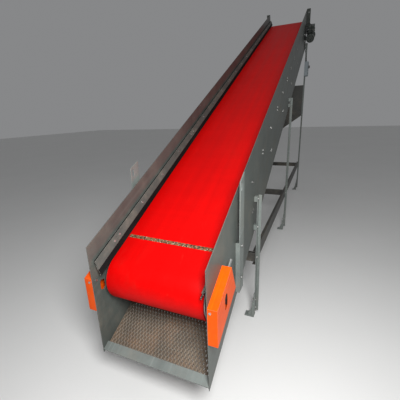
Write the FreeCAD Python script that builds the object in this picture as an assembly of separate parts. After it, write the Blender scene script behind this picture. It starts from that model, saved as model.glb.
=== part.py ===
import FreeCAD, Part
import math
import os

# Inclined belt conveyor section on three leg frames, in millimetres and degrees.
# Row frame: +X runs level from the tail (low end) to the head (high end), +Y is the
# left side seen from the tail, +Z is up. The origin is the bottom centre of the whole
# object's box, on the floor. The conveyor itself is drawn in a slope frame: x along the
# slope, y across, z normal to the belt, with its origin where the top edge of the side
# plates meets their plumb front edge. It is then tilted by INCLINE about that origin.

V = FreeCAD.Vector

# ---- Driving dimensions -------------------------------------------------------------
INCLINE = 25.0
BELT_WIDTH = 600.0
BELT_THICK = 8.0
BELT_EDGE_GAP = 42.0          # belt edge to the inner face of a side plate
SHEET = 3.0                   # side plates and other folded sheet
PLATE_LENGTH = 5900.0         # along the slope
PLATE_DEPTH = 638.0           # normal to the slope
BELT_DROP = 176.0             # plate top edge down to the carrying face of the belt
DRUM_DIA = 276.0
DRUM_FACE = 630.0
TAIL_SETBACK = 76.0           # tail drum centre behind the slope frame's origin
HEAD_SETBACK = 152.0          # head drum centre short of the plates' head end
RUN_GAP = 0.3                 # running gap between pieces that move past each other
FIT = 0.05                    # radial clearance of a shaft in its bearing
HOLE_CLEAR = 0.5              # radial clearance of a bolt in its hole
FLOOR_DROP = 1017.0           # slope frame's origin above the floor
TAIL_LEG_X = 1010.0           # legs' places along the floor
MIDDLE_LEG_X = 2990.0
HEAD_LEG_PAST = 2.8           # head leg past the plates' top head corner
LEG_OVERLAP = (298.0, 140.0, 125.0)   # leg top above the plate's lower edge
LEG_STANDOFF = 22.0
LEG_WIDE = 50.0
LEG_NARROW = 26.0
LEG_WALL = 5.0
TAIL_SHAFT_DIA = 40.0
HEAD_SHAFT_DIA = 45.0
TAKE_UP_TRAVEL = 50.0
ROLLER_DIA = 60.0
ROLLER_FACE = 620.0
ROLLER_SHAFT_DIA = 16.0
ROLLER_PITCH = 835.0
ROLLER_HEAD_CLEAR = 100.0     # last return roller to the head drum, at least
MEMBER_FIRST = 508.0
MEMBER_PITCH = 395.0
MEMBER_HEAD_CLEAR = 60.0      # last cross member to the head drum, at least
MEMBER_WIDE = 60.0
MEMBER_DEEP = 50.0
MESH_THICK = 4.0
SKIRT_TOP_DROP = 100.0
SKIRT_LEAN = 25.0
SKIRT_OFFSET = 10.0           # top of the rubber's inner face off the side plate
RUBBER_THICK = 8.0
STRIP_THICK = 5.0
STRIP_WIDE = 46.0
SKIRT_FRONT_X = 30.0          # plumb front ends of the skirts behind the plates' front edge
STRIP_FIRST_JOINT = 182.0
STRIP_LENGTH = 1270.0
STRIP_SHORTEST = 100.0
JOINT_BOLT = 28.0             # skirt bolts each side of a joint
END_BOLT = 60.0               # skirt bolts off the head end, at least
GUARD_DEEP = 52.0
GUARD_WALL = 2.0
GUARD_TOP_DROP = 180.0
GUARD_LOW_CLEAR = 2.5         # guard's lower wall below the take-up tracks
GUARD_BACK = 162.0
GEAR_CENTRES = 75.0           # worm axis to worm wheel axis
GEAR_RATIO = 30.0
MOTOR_RADIUS = 70.0
CABLE_DIA = 9.0
FOOT_HOLE_DIA = 14.0

# ---- Dependent dimensions -----------------------------------------------------------
TAN = math.tan(math.radians(INCLINE))
SIN = math.sin(math.radians(INCLINE))
COS = math.cos(math.radians(INCLINE))
INNER = BELT_WIDTH / 2 + BELT_EDGE_GAP
OUTER = INNER + SHEET
BELT_TOP = -BELT_DROP
BELT_UNDER = BELT_TOP - BELT_THICK
DRUM_R = DRUM_DIA / 2
AXIS_T = BELT_UNDER - RUN_GAP - DRUM_R
TAIL_S = TAIL_SETBACK
HEAD_S = PLATE_LENGTH - HEAD_SETBACK
LOOP_INNER = DRUM_R + RUN_GAP
LOOP_OUTER = LOOP_INNER + BELT_THICK
RETURN_FACE = AXIS_T - LOOP_OUTER
ROLLER_R = ROLLER_DIA / 2
ROLLER_T = RETURN_FACE - RUN_GAP - ROLLER_R
FLOOR_Z = -FLOOR_DROP
LEG_IN = OUTER + LEG_STANDOFF
MEMBER_TOP = BELT_UNDER - SHEET
LEG_X = (TAIL_LEG_X, MIDDLE_LEG_X, round(PLATE_LENGTH * COS + HEAD_LEG_PAST, 1))
MEMBER_ROOM = HEAD_S - DRUM_R - MEMBER_HEAD_CLEAR - MEMBER_FIRST
MEMBER_COUNT = int(MEMBER_ROOM // MEMBER_PITCH) + 1
ROLLER_COUNT = int((HEAD_S - DRUM_R - ROLLER_HEAD_CLEAR) // ROLLER_PITCH)


# ---- Small helpers ------------------------------------------------------------------
def box(x0, x1, y0, y1, z0, z1):
    return Part.makeBox(abs(x1 - x0), abs(y1 - y0), abs(z1 - z0),
                        V(min(x0, x1), min(y0, y1), min(z0, z1)))


def prism(points, along):
    """Extrudes the closed polygon through the given points by a vector."""
    wire = Part.makePolygon([V(*p) for p in points] + [V(*points[0])])
    return Part.Face(wire).extrude(V(*along))


def rod(start, axis, radius, length):
    return Part.makeCylinder(radius, length, V(*start), V(*axis))


def tube(start, axis, radius, bore, length):
    return rod(start, axis, radius, length).cut(rod(start, axis, bore, length))


def fuse(shapes):
    shapes = list(shapes)
    whole = shapes[0]
    if len(shapes) > 1:
        whole = shapes[0].multiFuse(shapes[1:])
    return whole.removeSplitter()


def cut(shape, tools):
    return shape.cut(Part.makeCompound(list(tools)))


def mirrored(shape):
    """The same piece on the other side of the conveyor."""
    return shape.mirror(V(0, 0, 0), V(0, 1, 0))


def tilt(shape):
    """Moves a shape from the slope frame to the level frame."""
    return shape.rotated(V(0, 0, 0), V(0, 1, 0), -INCLINE)


def level(s, y, t):
    """A point of the slope frame in the level frame."""
    return (s * COS - t * SIN, y, s * SIN + t * COS)


def packer(x, z, thick):
    """Block on the side plate's outer face, round the bolt of a leg or a post."""
    block = box(x - PACKER_HALF, x + PACKER_HALF, OUTER, OUTER + thick,
                z - PACKER_HALF, z + PACKER_HALF)
    return block.cut(rod((x, OUTER - 1, z), (0, 1, 0), BOLT / 2 + HOLE_CLEAR, thick + 2))


def bolt(head_at, axis, size, grip, nut=True):
    """Hexagon bolt: the head's bearing face is at head_at and points along axis."""
    out = V(*axis).normalize()
    at = V(*head_at)
    head = hexagon(at, out, size * 0.9, size * 0.65)
    shank = Part.makeCylinder(size / 2, grip, at, -out)
    pieces = [head, shank]
    if nut:
        pieces.append(hexagon(at - out * grip, -out, size * 0.9, size * 0.8))
        pieces.append(Part.makeCylinder(size / 2, size, at - out * grip, -out))
    return fuse(pieces)


def hexagon(at, axis, radius, height):
    side = axis.cross(V(0, 0, 1))
    if side.Length < 0.1:
        side = V(1, 0, 0)
    side.normalize()
    up = axis.cross(side)
    corners = []
    for k in range(6):
        turn = math.radians(60 * k)
        corners.append(at + side * (radius * math.cos(turn)) + up * (radius * math.sin(turn)))
    wire = Part.makePolygon(corners + [corners[0]])
    return Part.Face(wire).extrude(axis * height)


def stadium(radius, y0, y1):
    """Solid round both drums: two half circles joined by straight runs."""
    tail_top = V(TAIL_S, y0, AXIS_T + radius)
    tail_low = V(TAIL_S, y0, AXIS_T - radius)
    head_top = V(HEAD_S, y0, AXIS_T + radius)
    head_low = V(HEAD_S, y0, AXIS_T - radius)
    edges = [
        Part.LineSegment(tail_top, head_top).toShape(),
        Part.Arc(head_top, V(HEAD_S + radius, y0, AXIS_T), head_low).toShape(),
        Part.LineSegment(head_low, tail_low).toShape(),
        Part.Arc(tail_low, V(TAIL_S - radius, y0, AXIS_T), tail_top).toShape(),
    ]
    return Part.Face(Part.Wire(edges)).extrude(V(0, y1 - y0, 0))


def slot_y(s0, s1, t, radius, y0, y1):
    """Round-ended slot through the Y direction, from centre s0 to centre s1."""
    return fuse([
        box(s0, s1, y0, y1, t - radius, t + radius),
        rod((s0, y0, t), (0, 1, 0), radius, y1 - y0),
        rod((s1, y0, t), (0, 1, 0), radius, y1 - y0),
    ])


# ---- Places that several pieces share -----------------------------------------------
BOLT = 10.0
MEMBER_BOLT_DROPS = (14.0, 36.0)      # below the cross member's top face
MEMBER_BOLT_SHIFTS = (8.0, -12.0)     # along the slope, in turn
HANGER_BOLT_HALF = 14.0
HANGER_BOLT_T = RETURN_FACE + 40.0
HANGER_TOP = HANGER_BOLT_T + 18.0
HANGER_LOW = ROLLER_T - 18.0
HANGER_WIDE = 50.0
HANGER_THICK = 5.0
BEARING_BOLTS = 38.0                  # half spacing of a flange bearing's bolts
HEAD_HOLE_R = 32.0
FLANGE_OUT = 60.0
FLANGE_DEEP = 420.0
FLANGE_HOLE_DIA = 14.0
FLANGE_HOLES_T = (-60.0, -360.0)
PAN_FLANGE = 30.0
CROSSBAR_DEEP = 50.0
CROSSBAR_HIGH = 22.0
CROSSBAR_FRONT = -(PLATE_DEPTH - CROSSBAR_HIGH) * TAN
CORNER_CUT = 150.0
RAIL_BOLT = 8.0
SLOT_R = TAIL_SHAFT_DIA / 2 + 2.0
CLIP_FRONT_Z = -217.0                 # guard's front clip, height in the level frame
CLIP_BACK_T = -245.0                  # guard's back clip, in the slope frame
CLIP_SIZE = 26.0
CLIP_LEAF = 42.0
CLIP_BOLT_OUT = 15.0                  # bolt in the guard's wall, off the side plate
CLIP_BOLT_IN = 27.0                   # bolt in the side plate, off the guard's wall
WINDOW_X = 74.0                       # adjuster's window in the side plate, level frame
WINDOW_Z = (-285.5, -255.5)
WINDOW_R = 18.5
BELLY_FIRST = 260.0                   # angles under the pan mesh
BELLY_PITCH = 980.0
BELLY_WIDE = 30.0
BELLY_COUNT = int((PLATE_LENGTH - CORNER_CUT - 2 * BELLY_WIDE - BELLY_FIRST) // BELLY_PITCH) + 1
BED_END = 50.0                        # slider bed short of the drums' axes
BED_SIDE = 20.0
PANEL_GAP = 2.0
MESH_LAP = 28.0                       # pan mesh under the crossbar
PAN_FLANGE_GAP = 20.0
LEG_BOLT_BACK = 4.0                   # leg bolts off the leg's middle, clear of its rib
LEG_BOLT_LOW = 45.0                   # lower leg bolt above the plate's lower edge
LEG_BOLT_TOP = 25.0                   # upper leg bolt below the leg's top
PACKER_HALF = 20.0
POST_X = 480.0                        # tail edge of the posts' bars, level frame
POST_WIDE = 88.0
POST_STANDOFF = 22.0                  # bars off the side plates
POST_LOW = -430.0
POST_TOPS = {1: 376.0, -1: 332.0}     # at the bars' head edge; left, right
POST_WEB_TOP = -88.0
POST_BOLT_X = POST_X + POST_WIDE / 2
POST_BOLT_HIGHS = (-340.0, -120.0)
POST_SLOT_X = POST_X + 24.0
POST_SLOT_DROPS = (87.0, 58.0)        # slot's centres below the bar's highest point
POST_SLOT_R = 11.0


def member_places():
    return [MEMBER_FIRST + MEMBER_PITCH * k for k in range(MEMBER_COUNT)]


def member_bolt_points():
    points = []
    for k, s in enumerate(member_places()):
        shift = MEMBER_BOLT_SHIFTS[k % 2]
        points.append((s + shift, MEMBER_TOP - MEMBER_BOLT_DROPS[0]))
        points.append((s - shift, MEMBER_TOP - MEMBER_BOLT_DROPS[1]))
    return points


def roller_places():
    return [ROLLER_PITCH * (k + 1) for k in range(ROLLER_COUNT)]


def hanger_bolt_points():
    return [(s + side * HANGER_BOLT_HALF, HANGER_BOLT_T) for s in roller_places() for side in (-1, 1)]


def plate_low_z(x):
    """Height of the side plates' lower edge at a level place, in the level frame."""
    return x * TAN - PLATE_DEPTH / COS


def leg_bolt_points():
    """Level frame (x, z) of the bolts that hold each leg to its side plate."""
    points = []
    for x, overlap in zip(LEG_X, LEG_OVERLAP):
        low = plate_low_z(x)
        points.append((x - LEG_BOLT_BACK, low + LEG_BOLT_LOW))
        points.append((x - LEG_BOLT_BACK, low + overlap - LEG_BOLT_TOP))
    return points


def strip_joints():
    joints = []
    s = STRIP_FIRST_JOINT
    while s < PLATE_LENGTH - STRIP_SHORTEST:
        joints.append(s)
        s += STRIP_LENGTH
    return joints


def skirt_bolt_places():
    """A pair at each joint of the strips and three between, where a strip has room."""
    places = []
    for joint in strip_joints():
        places.append(joint - JOINT_BOLT)
        places.append(joint + JOINT_BOLT)
        for k in (1, 2, 3):
            s = joint + k * STRIP_LENGTH / 4
            if s < PLATE_LENGTH - END_BOLT:
                places.append(s)
    return places


# ---- Side plates and fixed frame ----------------------------------------------------
def side_plate(side):
    low_front = -PLATE_DEPTH * TAN
    outline = [
        (0, INNER, 0),
        (PLATE_LENGTH, INNER, 0),
        (PLATE_LENGTH, INNER, -PLATE_DEPTH + CORNER_CUT),
        (PLATE_LENGTH - CORNER_CUT, INNER, -PLATE_DEPTH),
        (low_front, INNER, -PLATE_DEPTH),
    ]
    plate = prism(outline, (0, SHEET, 0))
    pan_flange = box(low_front + CROSSBAR_DEEP + PAN_FLANGE_GAP,
                     PLATE_LENGTH - CORNER_CUT - PAN_FLANGE_GAP,
                     INNER - PAN_FLANGE, INNER, -PLATE_DEPTH, -PLATE_DEPTH + SHEET)
    head_flange = box(PLATE_LENGTH - SHEET, PLATE_LENGTH, OUTER, OUTER + FLANGE_OUT,
                      -FLANGE_DEEP, 0)
    plate = fuse([plate, pan_flange, head_flange])
    y0 = INNER - 1.0
    depth = SHEET + 2.0
    tools = []
    for s, t in member_bolt_points() + hanger_bolt_points():
        tools.append(rod((s, y0, t), (0, 1, 0), BOLT / 2 + HOLE_CLEAR, depth))
    tools.append(slot_y(TAIL_S - 4.0, TAIL_S + TAKE_UP_TRAVEL + 4.0, AXIS_T, SLOT_R,
                        y0, y0 + depth))
    tools.append(rod((HEAD_S, y0, AXIS_T), (0, 1, 0), HEAD_HOLE_R, depth))
    tools.append(rod((GUARD_BACK - GUARD_WALL - CLIP_BOLT_IN, y0, CLIP_BACK_T), (0, 1, 0),
                     RAIL_BOLT / 2 + HOLE_CLEAR, depth))
    for ds in (-1, 1):
        for dt in (-1, 1):
            at = (HEAD_S + ds * BEARING_BOLTS, y0, AXIS_T + dt * BEARING_BOLTS)
            tools.append(rod(at, (0, 1, 0), BOLT / 2 + HOLE_CLEAR, depth))
    for t in FLANGE_HOLES_T:
        at = (PLATE_LENGTH - SHEET - 1, OUTER + FLANGE_OUT / 2, t)
        tools.append(rod(at, (1, 0, 0), FLANGE_HOLE_DIA / 2, SHEET + 2))
    plate = tilt(cut(plate, tools))
    holes = []
    for x, z in leg_bolt_points():
        holes.append(rod((x, y0, z), (0, 1, 0), BOLT / 2 + HOLE_CLEAR, depth))
    for z in POST_BOLT_HIGHS:
        holes.append(rod((POST_BOLT_X, y0, z), (0, 1, 0), BOLT / 2 + HOLE_CLEAR, depth))
    holes.append(rod((GUARD_WALL + CLIP_BOLT_IN, y0, CLIP_FRONT_Z), (0, 1, 0),
                     RAIL_BOLT / 2 + HOLE_CLEAR, depth))
    holes.append(slot_z(WINDOW_X, *WINDOW_Z, WINDOW_R, y0, y0 + depth))
    plate = cut(plate, holes)
    return plate if side > 0 else mirrored(plate)


def tail_crossbar():
    front = CROSSBAR_FRONT
    low = -PLATE_DEPTH
    top = low + CROSSBAR_HIGH
    bar = fuse([
        box(front, front + CROSSBAR_DEEP, -INNER, INNER, top - SHEET, top),
        box(front, front + SHEET, -INNER, INNER, low, top),
        box(front, front + CROSSBAR_DEEP / 2, -INNER, INNER, low, low + SHEET),
    ])
    return tilt(bar)


def belly_mesh():
    """Expanded mesh pan, in three panels that lie on the side plates' lower flanges."""
    start = -PLATE_DEPTH * TAN + CROSSBAR_DEEP - MESH_LAP
    stop = PLATE_LENGTH - CORNER_CUT - PAN_FLANGE_GAP
    low = -PLATE_DEPTH + SHEET
    length = (stop - start) / 3
    panels = []
    for k in range(3):
        a = start + k * length
        panels.append(box(a, a + length - PANEL_GAP, -INNER + PANEL_GAP, INNER - PANEL_GAP,
                          low, low + MESH_THICK))
    return tilt(Part.makeCompound(panels))


def belly_angles():
    """Angles under the mesh at its panel joints and between them."""
    low = -PLATE_DEPTH + SHEET
    reach = INNER - PAN_FLANGE
    pieces = []
    for k in range(BELLY_COUNT):
        s = BELLY_FIRST + k * BELLY_PITCH
        pieces.append(fuse([
            box(s, s + BELLY_WIDE, -reach, reach, low - SHEET, low),
            box(s, s + SHEET, -reach, reach, low - BELLY_WIDE, low),
        ]))
    return tilt(Part.makeCompound(pieces))


def slider_bed():
    start = TAIL_S + TAKE_UP_TRAVEL + BED_END
    reach = INNER - BED_SIDE
    return tilt(box(start, HEAD_S - BED_END, -reach, reach, MEMBER_TOP, BELT_UNDER))


def cross_members():
    """Folded channels, open below, with an end plate against each side plate."""
    pieces = []
    half = MEMBER_WIDE / 2
    for k, s in enumerate(member_places()):
        low = MEMBER_TOP - MEMBER_DEEP
        channel = box(s - half, s + half, -INNER, INNER, low, MEMBER_TOP)
        hollow = box(s - half + SHEET, s + half - SHEET, -INNER + SHEET, INNER - SHEET,
                     low - 1, MEMBER_TOP - SHEET)
        channel = channel.cut(hollow)
        tools = []
        for at_s, at_t in member_bolt_points()[2 * k:2 * k + 2]:
            tools.append(rod((at_s, -OUTER, at_t), (0, 1, 0), BOLT / 2 + HOLE_CLEAR, 2 * OUTER))
        pieces.append(cut(channel, tools))
    return tilt(Part.makeCompound(pieces))


def plate_bolts():
    """Bolts through the side plates: cross members, roller hangers, legs and posts."""
    slope_bolts = []
    for s, t in member_bolt_points():
        slope_bolts.append(bolt((s, OUTER, t), (0, 1, 0), BOLT, 2 * SHEET))
    for s, t in hanger_bolt_points():
        slope_bolts.append(bolt((s, OUTER, t), (0, 1, 0), BOLT, SHEET + HANGER_THICK))
    pieces = [tilt(b) for b in slope_bolts]
    for x, z in leg_bolt_points():
        head_y = LEG_IN + LEG_WALL
        pieces.append(bolt((x, head_y, z), (0, 1, 0), BOLT, LEG_WALL + LEG_STANDOFF + SHEET))
    grip = LEG_WALL + POST_STANDOFF + SHEET
    for z in POST_BOLT_HIGHS:
        pieces.append(bolt((POST_BOLT_X, INNER + grip, z), (0, 1, 0), BOLT, grip))
    return Part.makeCompound(pieces + [mirrored(p) for p in pieces])


# ---- Skirts -------------------------------------------------------------------------
SKIRT_BOLT = 8.0
SKIRT_GRIP = 20.0
RUBBER_END = 12.0             # rubber short of the plates' head end
STRIP_END = 10.0
STRIP_DROP = 2.0              # strip below the rubber's top
STRIP_HALF_GAP = 1.0
CLEAT_HALF = 18.0
SKIRT_OVERRUN = 100.0         # skirts are drawn this far past the slope frame's origin, then cut


def skirt_frame():
    """Top of the rubber's inner face, its downward direction and its inward normal."""
    lean = math.radians(SKIRT_LEAN)
    down = (-math.sin(lean), -math.cos(lean))
    inward = (-math.cos(lean), math.sin(lean))
    return (INNER - SKIRT_OFFSET, -SKIRT_TOP_DROP), down, inward


def skirt_point(along, out):
    """Cross-section point at a distance down the skirt and a distance inward of it."""
    top, down, inward = skirt_frame()
    return (top[0] + along * down[0] + out * inward[0],
            top[1] + along * down[1] + out * inward[1])


def skirt_bolt_at(s):
    y, t = skirt_point(STRIP_DROP + STRIP_WIDE / 2, STRIP_THICK)
    return (s, y, t)


def skirt_holes(radius):
    inward = skirt_frame()[2]
    tools = []
    for s in skirt_bolt_places():
        _, y, t = skirt_bolt_at(s)
        start = (s, y + inward[0], t + inward[1])
        tools.append(rod(start, (0, -inward[0], -inward[1]), radius, 45.0))
    return tools


def section(points, s0, s1):
    return prism([(s0, y, t) for y, t in points], (s1 - s0, 0, 0))


def skirt_rubber():
    seal = BELT_TOP + RUN_GAP
    lean = math.radians(SKIRT_LEAN)
    top_in = skirt_point(0, 0)
    top_out = skirt_point(0, -RUBBER_THICK)
    reach_in = (top_in[1] - seal) / math.cos(lean)
    reach_out = (top_out[1] - seal) / math.cos(lean)
    points = [top_in, skirt_point(reach_in, 0), skirt_point(reach_out, -RUBBER_THICK), top_out]
    rubber = section(points, -SKIRT_OVERRUN, PLATE_LENGTH - RUBBER_END)
    return plumb_front(tilt(cut(rubber, skirt_holes(SKIRT_BOLT / 2))))


def plumb_front(shape):
    """Trims the front end of a skirt's part with a plumb cut."""
    return shape.cut(box(-PLATE_DEPTH, SKIRT_FRONT_X, 0, OUTER, -PLATE_DEPTH, PLATE_DEPTH))


def skirt_strips():
    edges = [-SKIRT_OVERRUN] + strip_joints() + [PLATE_LENGTH - STRIP_END]
    low = STRIP_DROP + STRIP_WIDE
    points = [skirt_point(STRIP_DROP, 0), skirt_point(low, 0),
              skirt_point(low, STRIP_THICK), skirt_point(STRIP_DROP, STRIP_THICK)]
    strips = [section(points, a + STRIP_HALF_GAP, b - STRIP_HALF_GAP)
              for a, b in zip(edges, edges[1:])]
    strips = cut(Part.makeCompound(strips), skirt_holes(SKIRT_BOLT / 2))
    return plumb_front(tilt(strips))


def skirt_cleats():
    """Wedges fixed to the side plates, which the skirt bolts screw into."""
    top = skirt_point(0, -RUBBER_THICK)
    low = skirt_point(STRIP_WIDE, -RUBBER_THICK)
    points = [top, low, (INNER, low[1]), (INNER, top[1])]
    cleats = []
    for s in skirt_bolt_places():
        cleats.append(section(points, s - CLEAT_HALF, s + CLEAT_HALF))
    cleats = cut(Part.makeCompound(cleats), skirt_holes(SKIRT_BOLT / 2))
    cleats = tilt(cleats)
    return Part.makeCompound([cleats, mirrored(cleats)])


def skirt_bolts():
    inward = skirt_frame()[2]
    pieces = []
    for s in skirt_bolt_places():
        fastener = bolt(skirt_bolt_at(s), (0, inward[0], inward[1]), SKIRT_BOLT,
                        SKIRT_GRIP, nut=False)
        pieces.append(tilt(fastener))
    return Part.makeCompound(pieces + [mirrored(p) for p in pieces])


# ---- Belt ---------------------------------------------------------------------------
LACING_S = 248.0
LACING_DEEP = 24.0
LACING_HIGH = 2.0
LACING_COUNT = 24
LACING_EDGE = 10.0            # short of the belt's edges
LACING_GAP = 2.0
LOOP_R = 2.0                  # hinge loops


def belt():
    half = BELT_WIDTH / 2
    return tilt(stadium(LOOP_OUTER, -half, half).cut(stadium(LOOP_INNER, -half - 1, half + 1)))


def belt_lacing():
    """Row of metal fastener plates with a hinge pin along the joint of the belt."""
    reach = BELT_WIDTH / 2 - LACING_EDGE
    pitch = 2 * reach / LACING_COUNT
    pieces = []
    for k in range(LACING_COUNT):
        y = -reach + pitch * k
        plate = box(LACING_S - LACING_DEEP / 2, LACING_S + LACING_DEEP / 2, y, y + pitch - LACING_GAP,
                    BELT_TOP, BELT_TOP + LACING_HIGH)
        knuckle = rod((LACING_S, y, BELT_TOP + LACING_HIGH), (0, 1, 0), LOOP_R, pitch - LACING_GAP)
        knuckle = knuckle.common(box(LACING_S - 5, LACING_S + 5, y, y + pitch,
                                     BELT_TOP, BELT_TOP + 10))
        pieces.append(fuse([plate, knuckle]))
    return tilt(Part.makeCompound(pieces))


# ---- Drums and return rollers -------------------------------------------------------
DRUM_END = 8.0
DRUM_DISC = 12.0
DRUM_WALL = 8.0
ROLLER_CAP = 14.0
ROLLER_WALL = 3.0
SHAFT_PAST = 3.0              # tail shaft past its blocks
HEAD_SHAFT_LEFT = 52.0        # head shaft past the left side plate
HEAD_SHAFT_RIGHT = 8.0        # head shaft past the gearbox


def drum(centre_s, shaft_dia):
    """Steel shell with two end discs, bored for its shaft."""
    half = DRUM_FACE / 2 - DRUM_END
    start = (centre_s, -half, AXIS_T)
    shell = rod(start, (0, 1, 0), DRUM_R, 2 * half)
    hollow = rod((centre_s, -half + DRUM_DISC, AXIS_T), (0, 1, 0), DRUM_R - DRUM_WALL,
                 2 * (half - DRUM_DISC))
    bore = rod(start, (0, 1, 0), shaft_dia / 2, 2 * half)
    return tilt(shell.cut(hollow).cut(bore))


def tail_shaft():
    reach = OUTER + RUN_GAP + BLOCK_DEEP + SHAFT_PAST
    return tilt(rod((TAIL_S, -reach, AXIS_T), (0, 1, 0), TAIL_SHAFT_DIA / 2, 2 * reach))


def head_shaft():
    right = GEAR_FAR + HEAD_SHAFT_RIGHT
    left = OUTER + HEAD_SHAFT_LEFT
    return tilt(rod((HEAD_S, -right, AXIS_T), (0, 1, 0), HEAD_SHAFT_DIA / 2, right + left))


def return_roller(s):
    half = ROLLER_FACE / 2
    start = (s, -half, ROLLER_T)
    shell = rod(start, (0, 1, 0), ROLLER_R, 2 * half)
    hollow = rod((s, -half + ROLLER_CAP, ROLLER_T), (0, 1, 0), ROLLER_R - ROLLER_WALL,
                 2 * (half - ROLLER_CAP))
    bore = rod(start, (0, 1, 0), ROLLER_SHAFT_DIA / 2 + FIT, 2 * half)
    return tilt(shell.cut(hollow).cut(bore))


def roller_shafts():
    shafts = []
    for s in roller_places():
        shafts.append(rod((s, -INNER, ROLLER_T), (0, 1, 0), ROLLER_SHAFT_DIA / 2, 2 * INNER))
    return tilt(Part.makeCompound(shafts))


def roller_hangers():
    pieces = []
    for k, s in enumerate(roller_places()):
        hanger = box(s - HANGER_WIDE / 2, s + HANGER_WIDE / 2, INNER - HANGER_THICK, INNER,
                     HANGER_LOW, HANGER_TOP)
        tools = [rod((s, 0, ROLLER_T), (0, 1, 0), ROLLER_SHAFT_DIA / 2, OUTER)]
        for at_s, at_t in hanger_bolt_points()[2 * k:2 * k + 2]:
            tools.append(rod((at_s, 0, at_t), (0, 1, 0), BOLT / 2 + HOLE_CLEAR, OUTER))
        pieces.append(tilt(cut(hanger, tools)))
    return Part.makeCompound(pieces + [mirrored(p) for p in pieces])


# ---- Take-up at the tail ------------------------------------------------------------
BLOCK_HALF = 30.0
BLOCK_HIGH = 62.0
BLOCK_DEEP = 40.0
TRACK_HIGH = 10.0
TRACK_DEEP = 14.0
TRACK_PAST = 1.5              # tracks past the block at the end of its travel
SCREW_DIA = 16.0
SCREW_T = -205.0
SCREW_Y = 28.0                # screw axis outside the side plate
LUG_THICK = 10.0
BRACKET_S = 138.0
BRACKET_THICK = 8.0
BRACKET_HALF = 18.0
NUT_R = 13.5
NUT_HIGH = 11.0
SCREW_OUT = 62.0              # screw past the guard
SCREW_HEAD = 8.0


def take_up_block():
    """Bearing block with a lug that carries the take-up screw."""
    y0 = OUTER + RUN_GAP
    body = box(TAIL_S - BLOCK_HALF, TAIL_S + BLOCK_HALF, y0, y0 + BLOCK_DEEP,
               AXIS_T - BLOCK_HIGH / 2, AXIS_T + BLOCK_HIGH / 2)
    lug = box(TAIL_S - BLOCK_HALF, TAIL_S - BLOCK_HALF + LUG_THICK, y0 + TRACK_DEEP + 1.0,
              y0 + BLOCK_DEEP, AXIS_T, SCREW_T + 16.0)
    bore = rod((TAIL_S, y0 - 1, AXIS_T), (0, 1, 0), TAIL_SHAFT_DIA / 2 + FIT, BLOCK_DEEP + 2)
    seat = rod((TAIL_S - BLOCK_HALF - 1, OUTER + SCREW_Y, SCREW_T), (1, 0, 0),
               SCREW_DIA / 2, LUG_THICK + 2)
    return tilt(fuse([body, lug]).cut(bore).cut(seat))


def take_up_blocks():
    block = take_up_block()
    return Part.makeCompound([block, mirrored(block)])


def take_up_screws():
    start = TAIL_S - BLOCK_HALF
    screw = tilt(fuse([
        rod((start, OUTER + SCREW_Y, SCREW_T), (1, 0, 0), SCREW_DIA / 2,
            GUARD_BACK + SCREW_OUT - start),
        rod((start - SCREW_HEAD, OUTER + SCREW_Y, SCREW_T), (1, 0, 0), SCREW_DIA / 2 + 5.0,
            SCREW_HEAD),
    ]))
    return Part.makeCompound([screw, mirrored(screw)])


def take_up_frames():
    """Tracks above and below each block, and the bracket that the screw pulls on."""
    start = TAIL_S - BLOCK_HALF - TRACK_DEEP
    stop = TAIL_S + BLOCK_HALF + TAKE_UP_TRAVEL + TRACK_PAST
    pieces = []
    top = AXIS_T + BLOCK_HIGH / 2 + RUN_GAP
    low = AXIS_T - BLOCK_HIGH / 2 - RUN_GAP
    pieces.append(box(start, stop, OUTER, OUTER + TRACK_DEEP, top, top + TRACK_HIGH))
    pieces.append(box(start, stop, OUTER, OUTER + TRACK_DEEP, low - TRACK_HIGH, low))
    bracket = box(BRACKET_S, BRACKET_S + BRACKET_THICK, OUTER, OUTER + SCREW_Y + BRACKET_HALF,
                  SCREW_T - BRACKET_HALF, SCREW_T + BRACKET_HALF)
    hole = rod((BRACKET_S - 1, OUTER + SCREW_Y, SCREW_T), (1, 0, 0), SCREW_DIA / 2 + 1.0,
               BRACKET_THICK + 2)
    pieces.append(bracket.cut(hole))
    pieces = [tilt(p) for p in pieces]
    return Part.makeCompound(pieces + [mirrored(p) for p in pieces])


def take_up_nuts():
    """Lock nuts on both faces of each bracket; they turn on the screw to set it."""
    pieces = []
    for s, way in ((BRACKET_S, -1), (BRACKET_S + BRACKET_THICK, 1)):
        nut = hexagon(V(s, OUTER + SCREW_Y, SCREW_T), V(way, 0, 0), NUT_R, NUT_HIGH)
        hole = rod((s - 2 * NUT_HIGH, OUTER + SCREW_Y, SCREW_T), (1, 0, 0), SCREW_DIA / 2 + FIT,
                   4 * NUT_HIGH)
        pieces.append(tilt(nut.cut(hole)))
    return Part.makeCompound(pieces + [mirrored(p) for p in pieces])


GUARD_LOW = AXIS_T - BLOCK_HIGH / 2 - RUN_GAP - TRACK_HIGH - GUARD_LOW_CLEAR - GUARD_WALL
VIEW_S_X = 132.0              # sight hole in the guard's face, level frame
VIEW_Z = (-262.0, -216.0)
VIEW_R = 22.0


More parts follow.
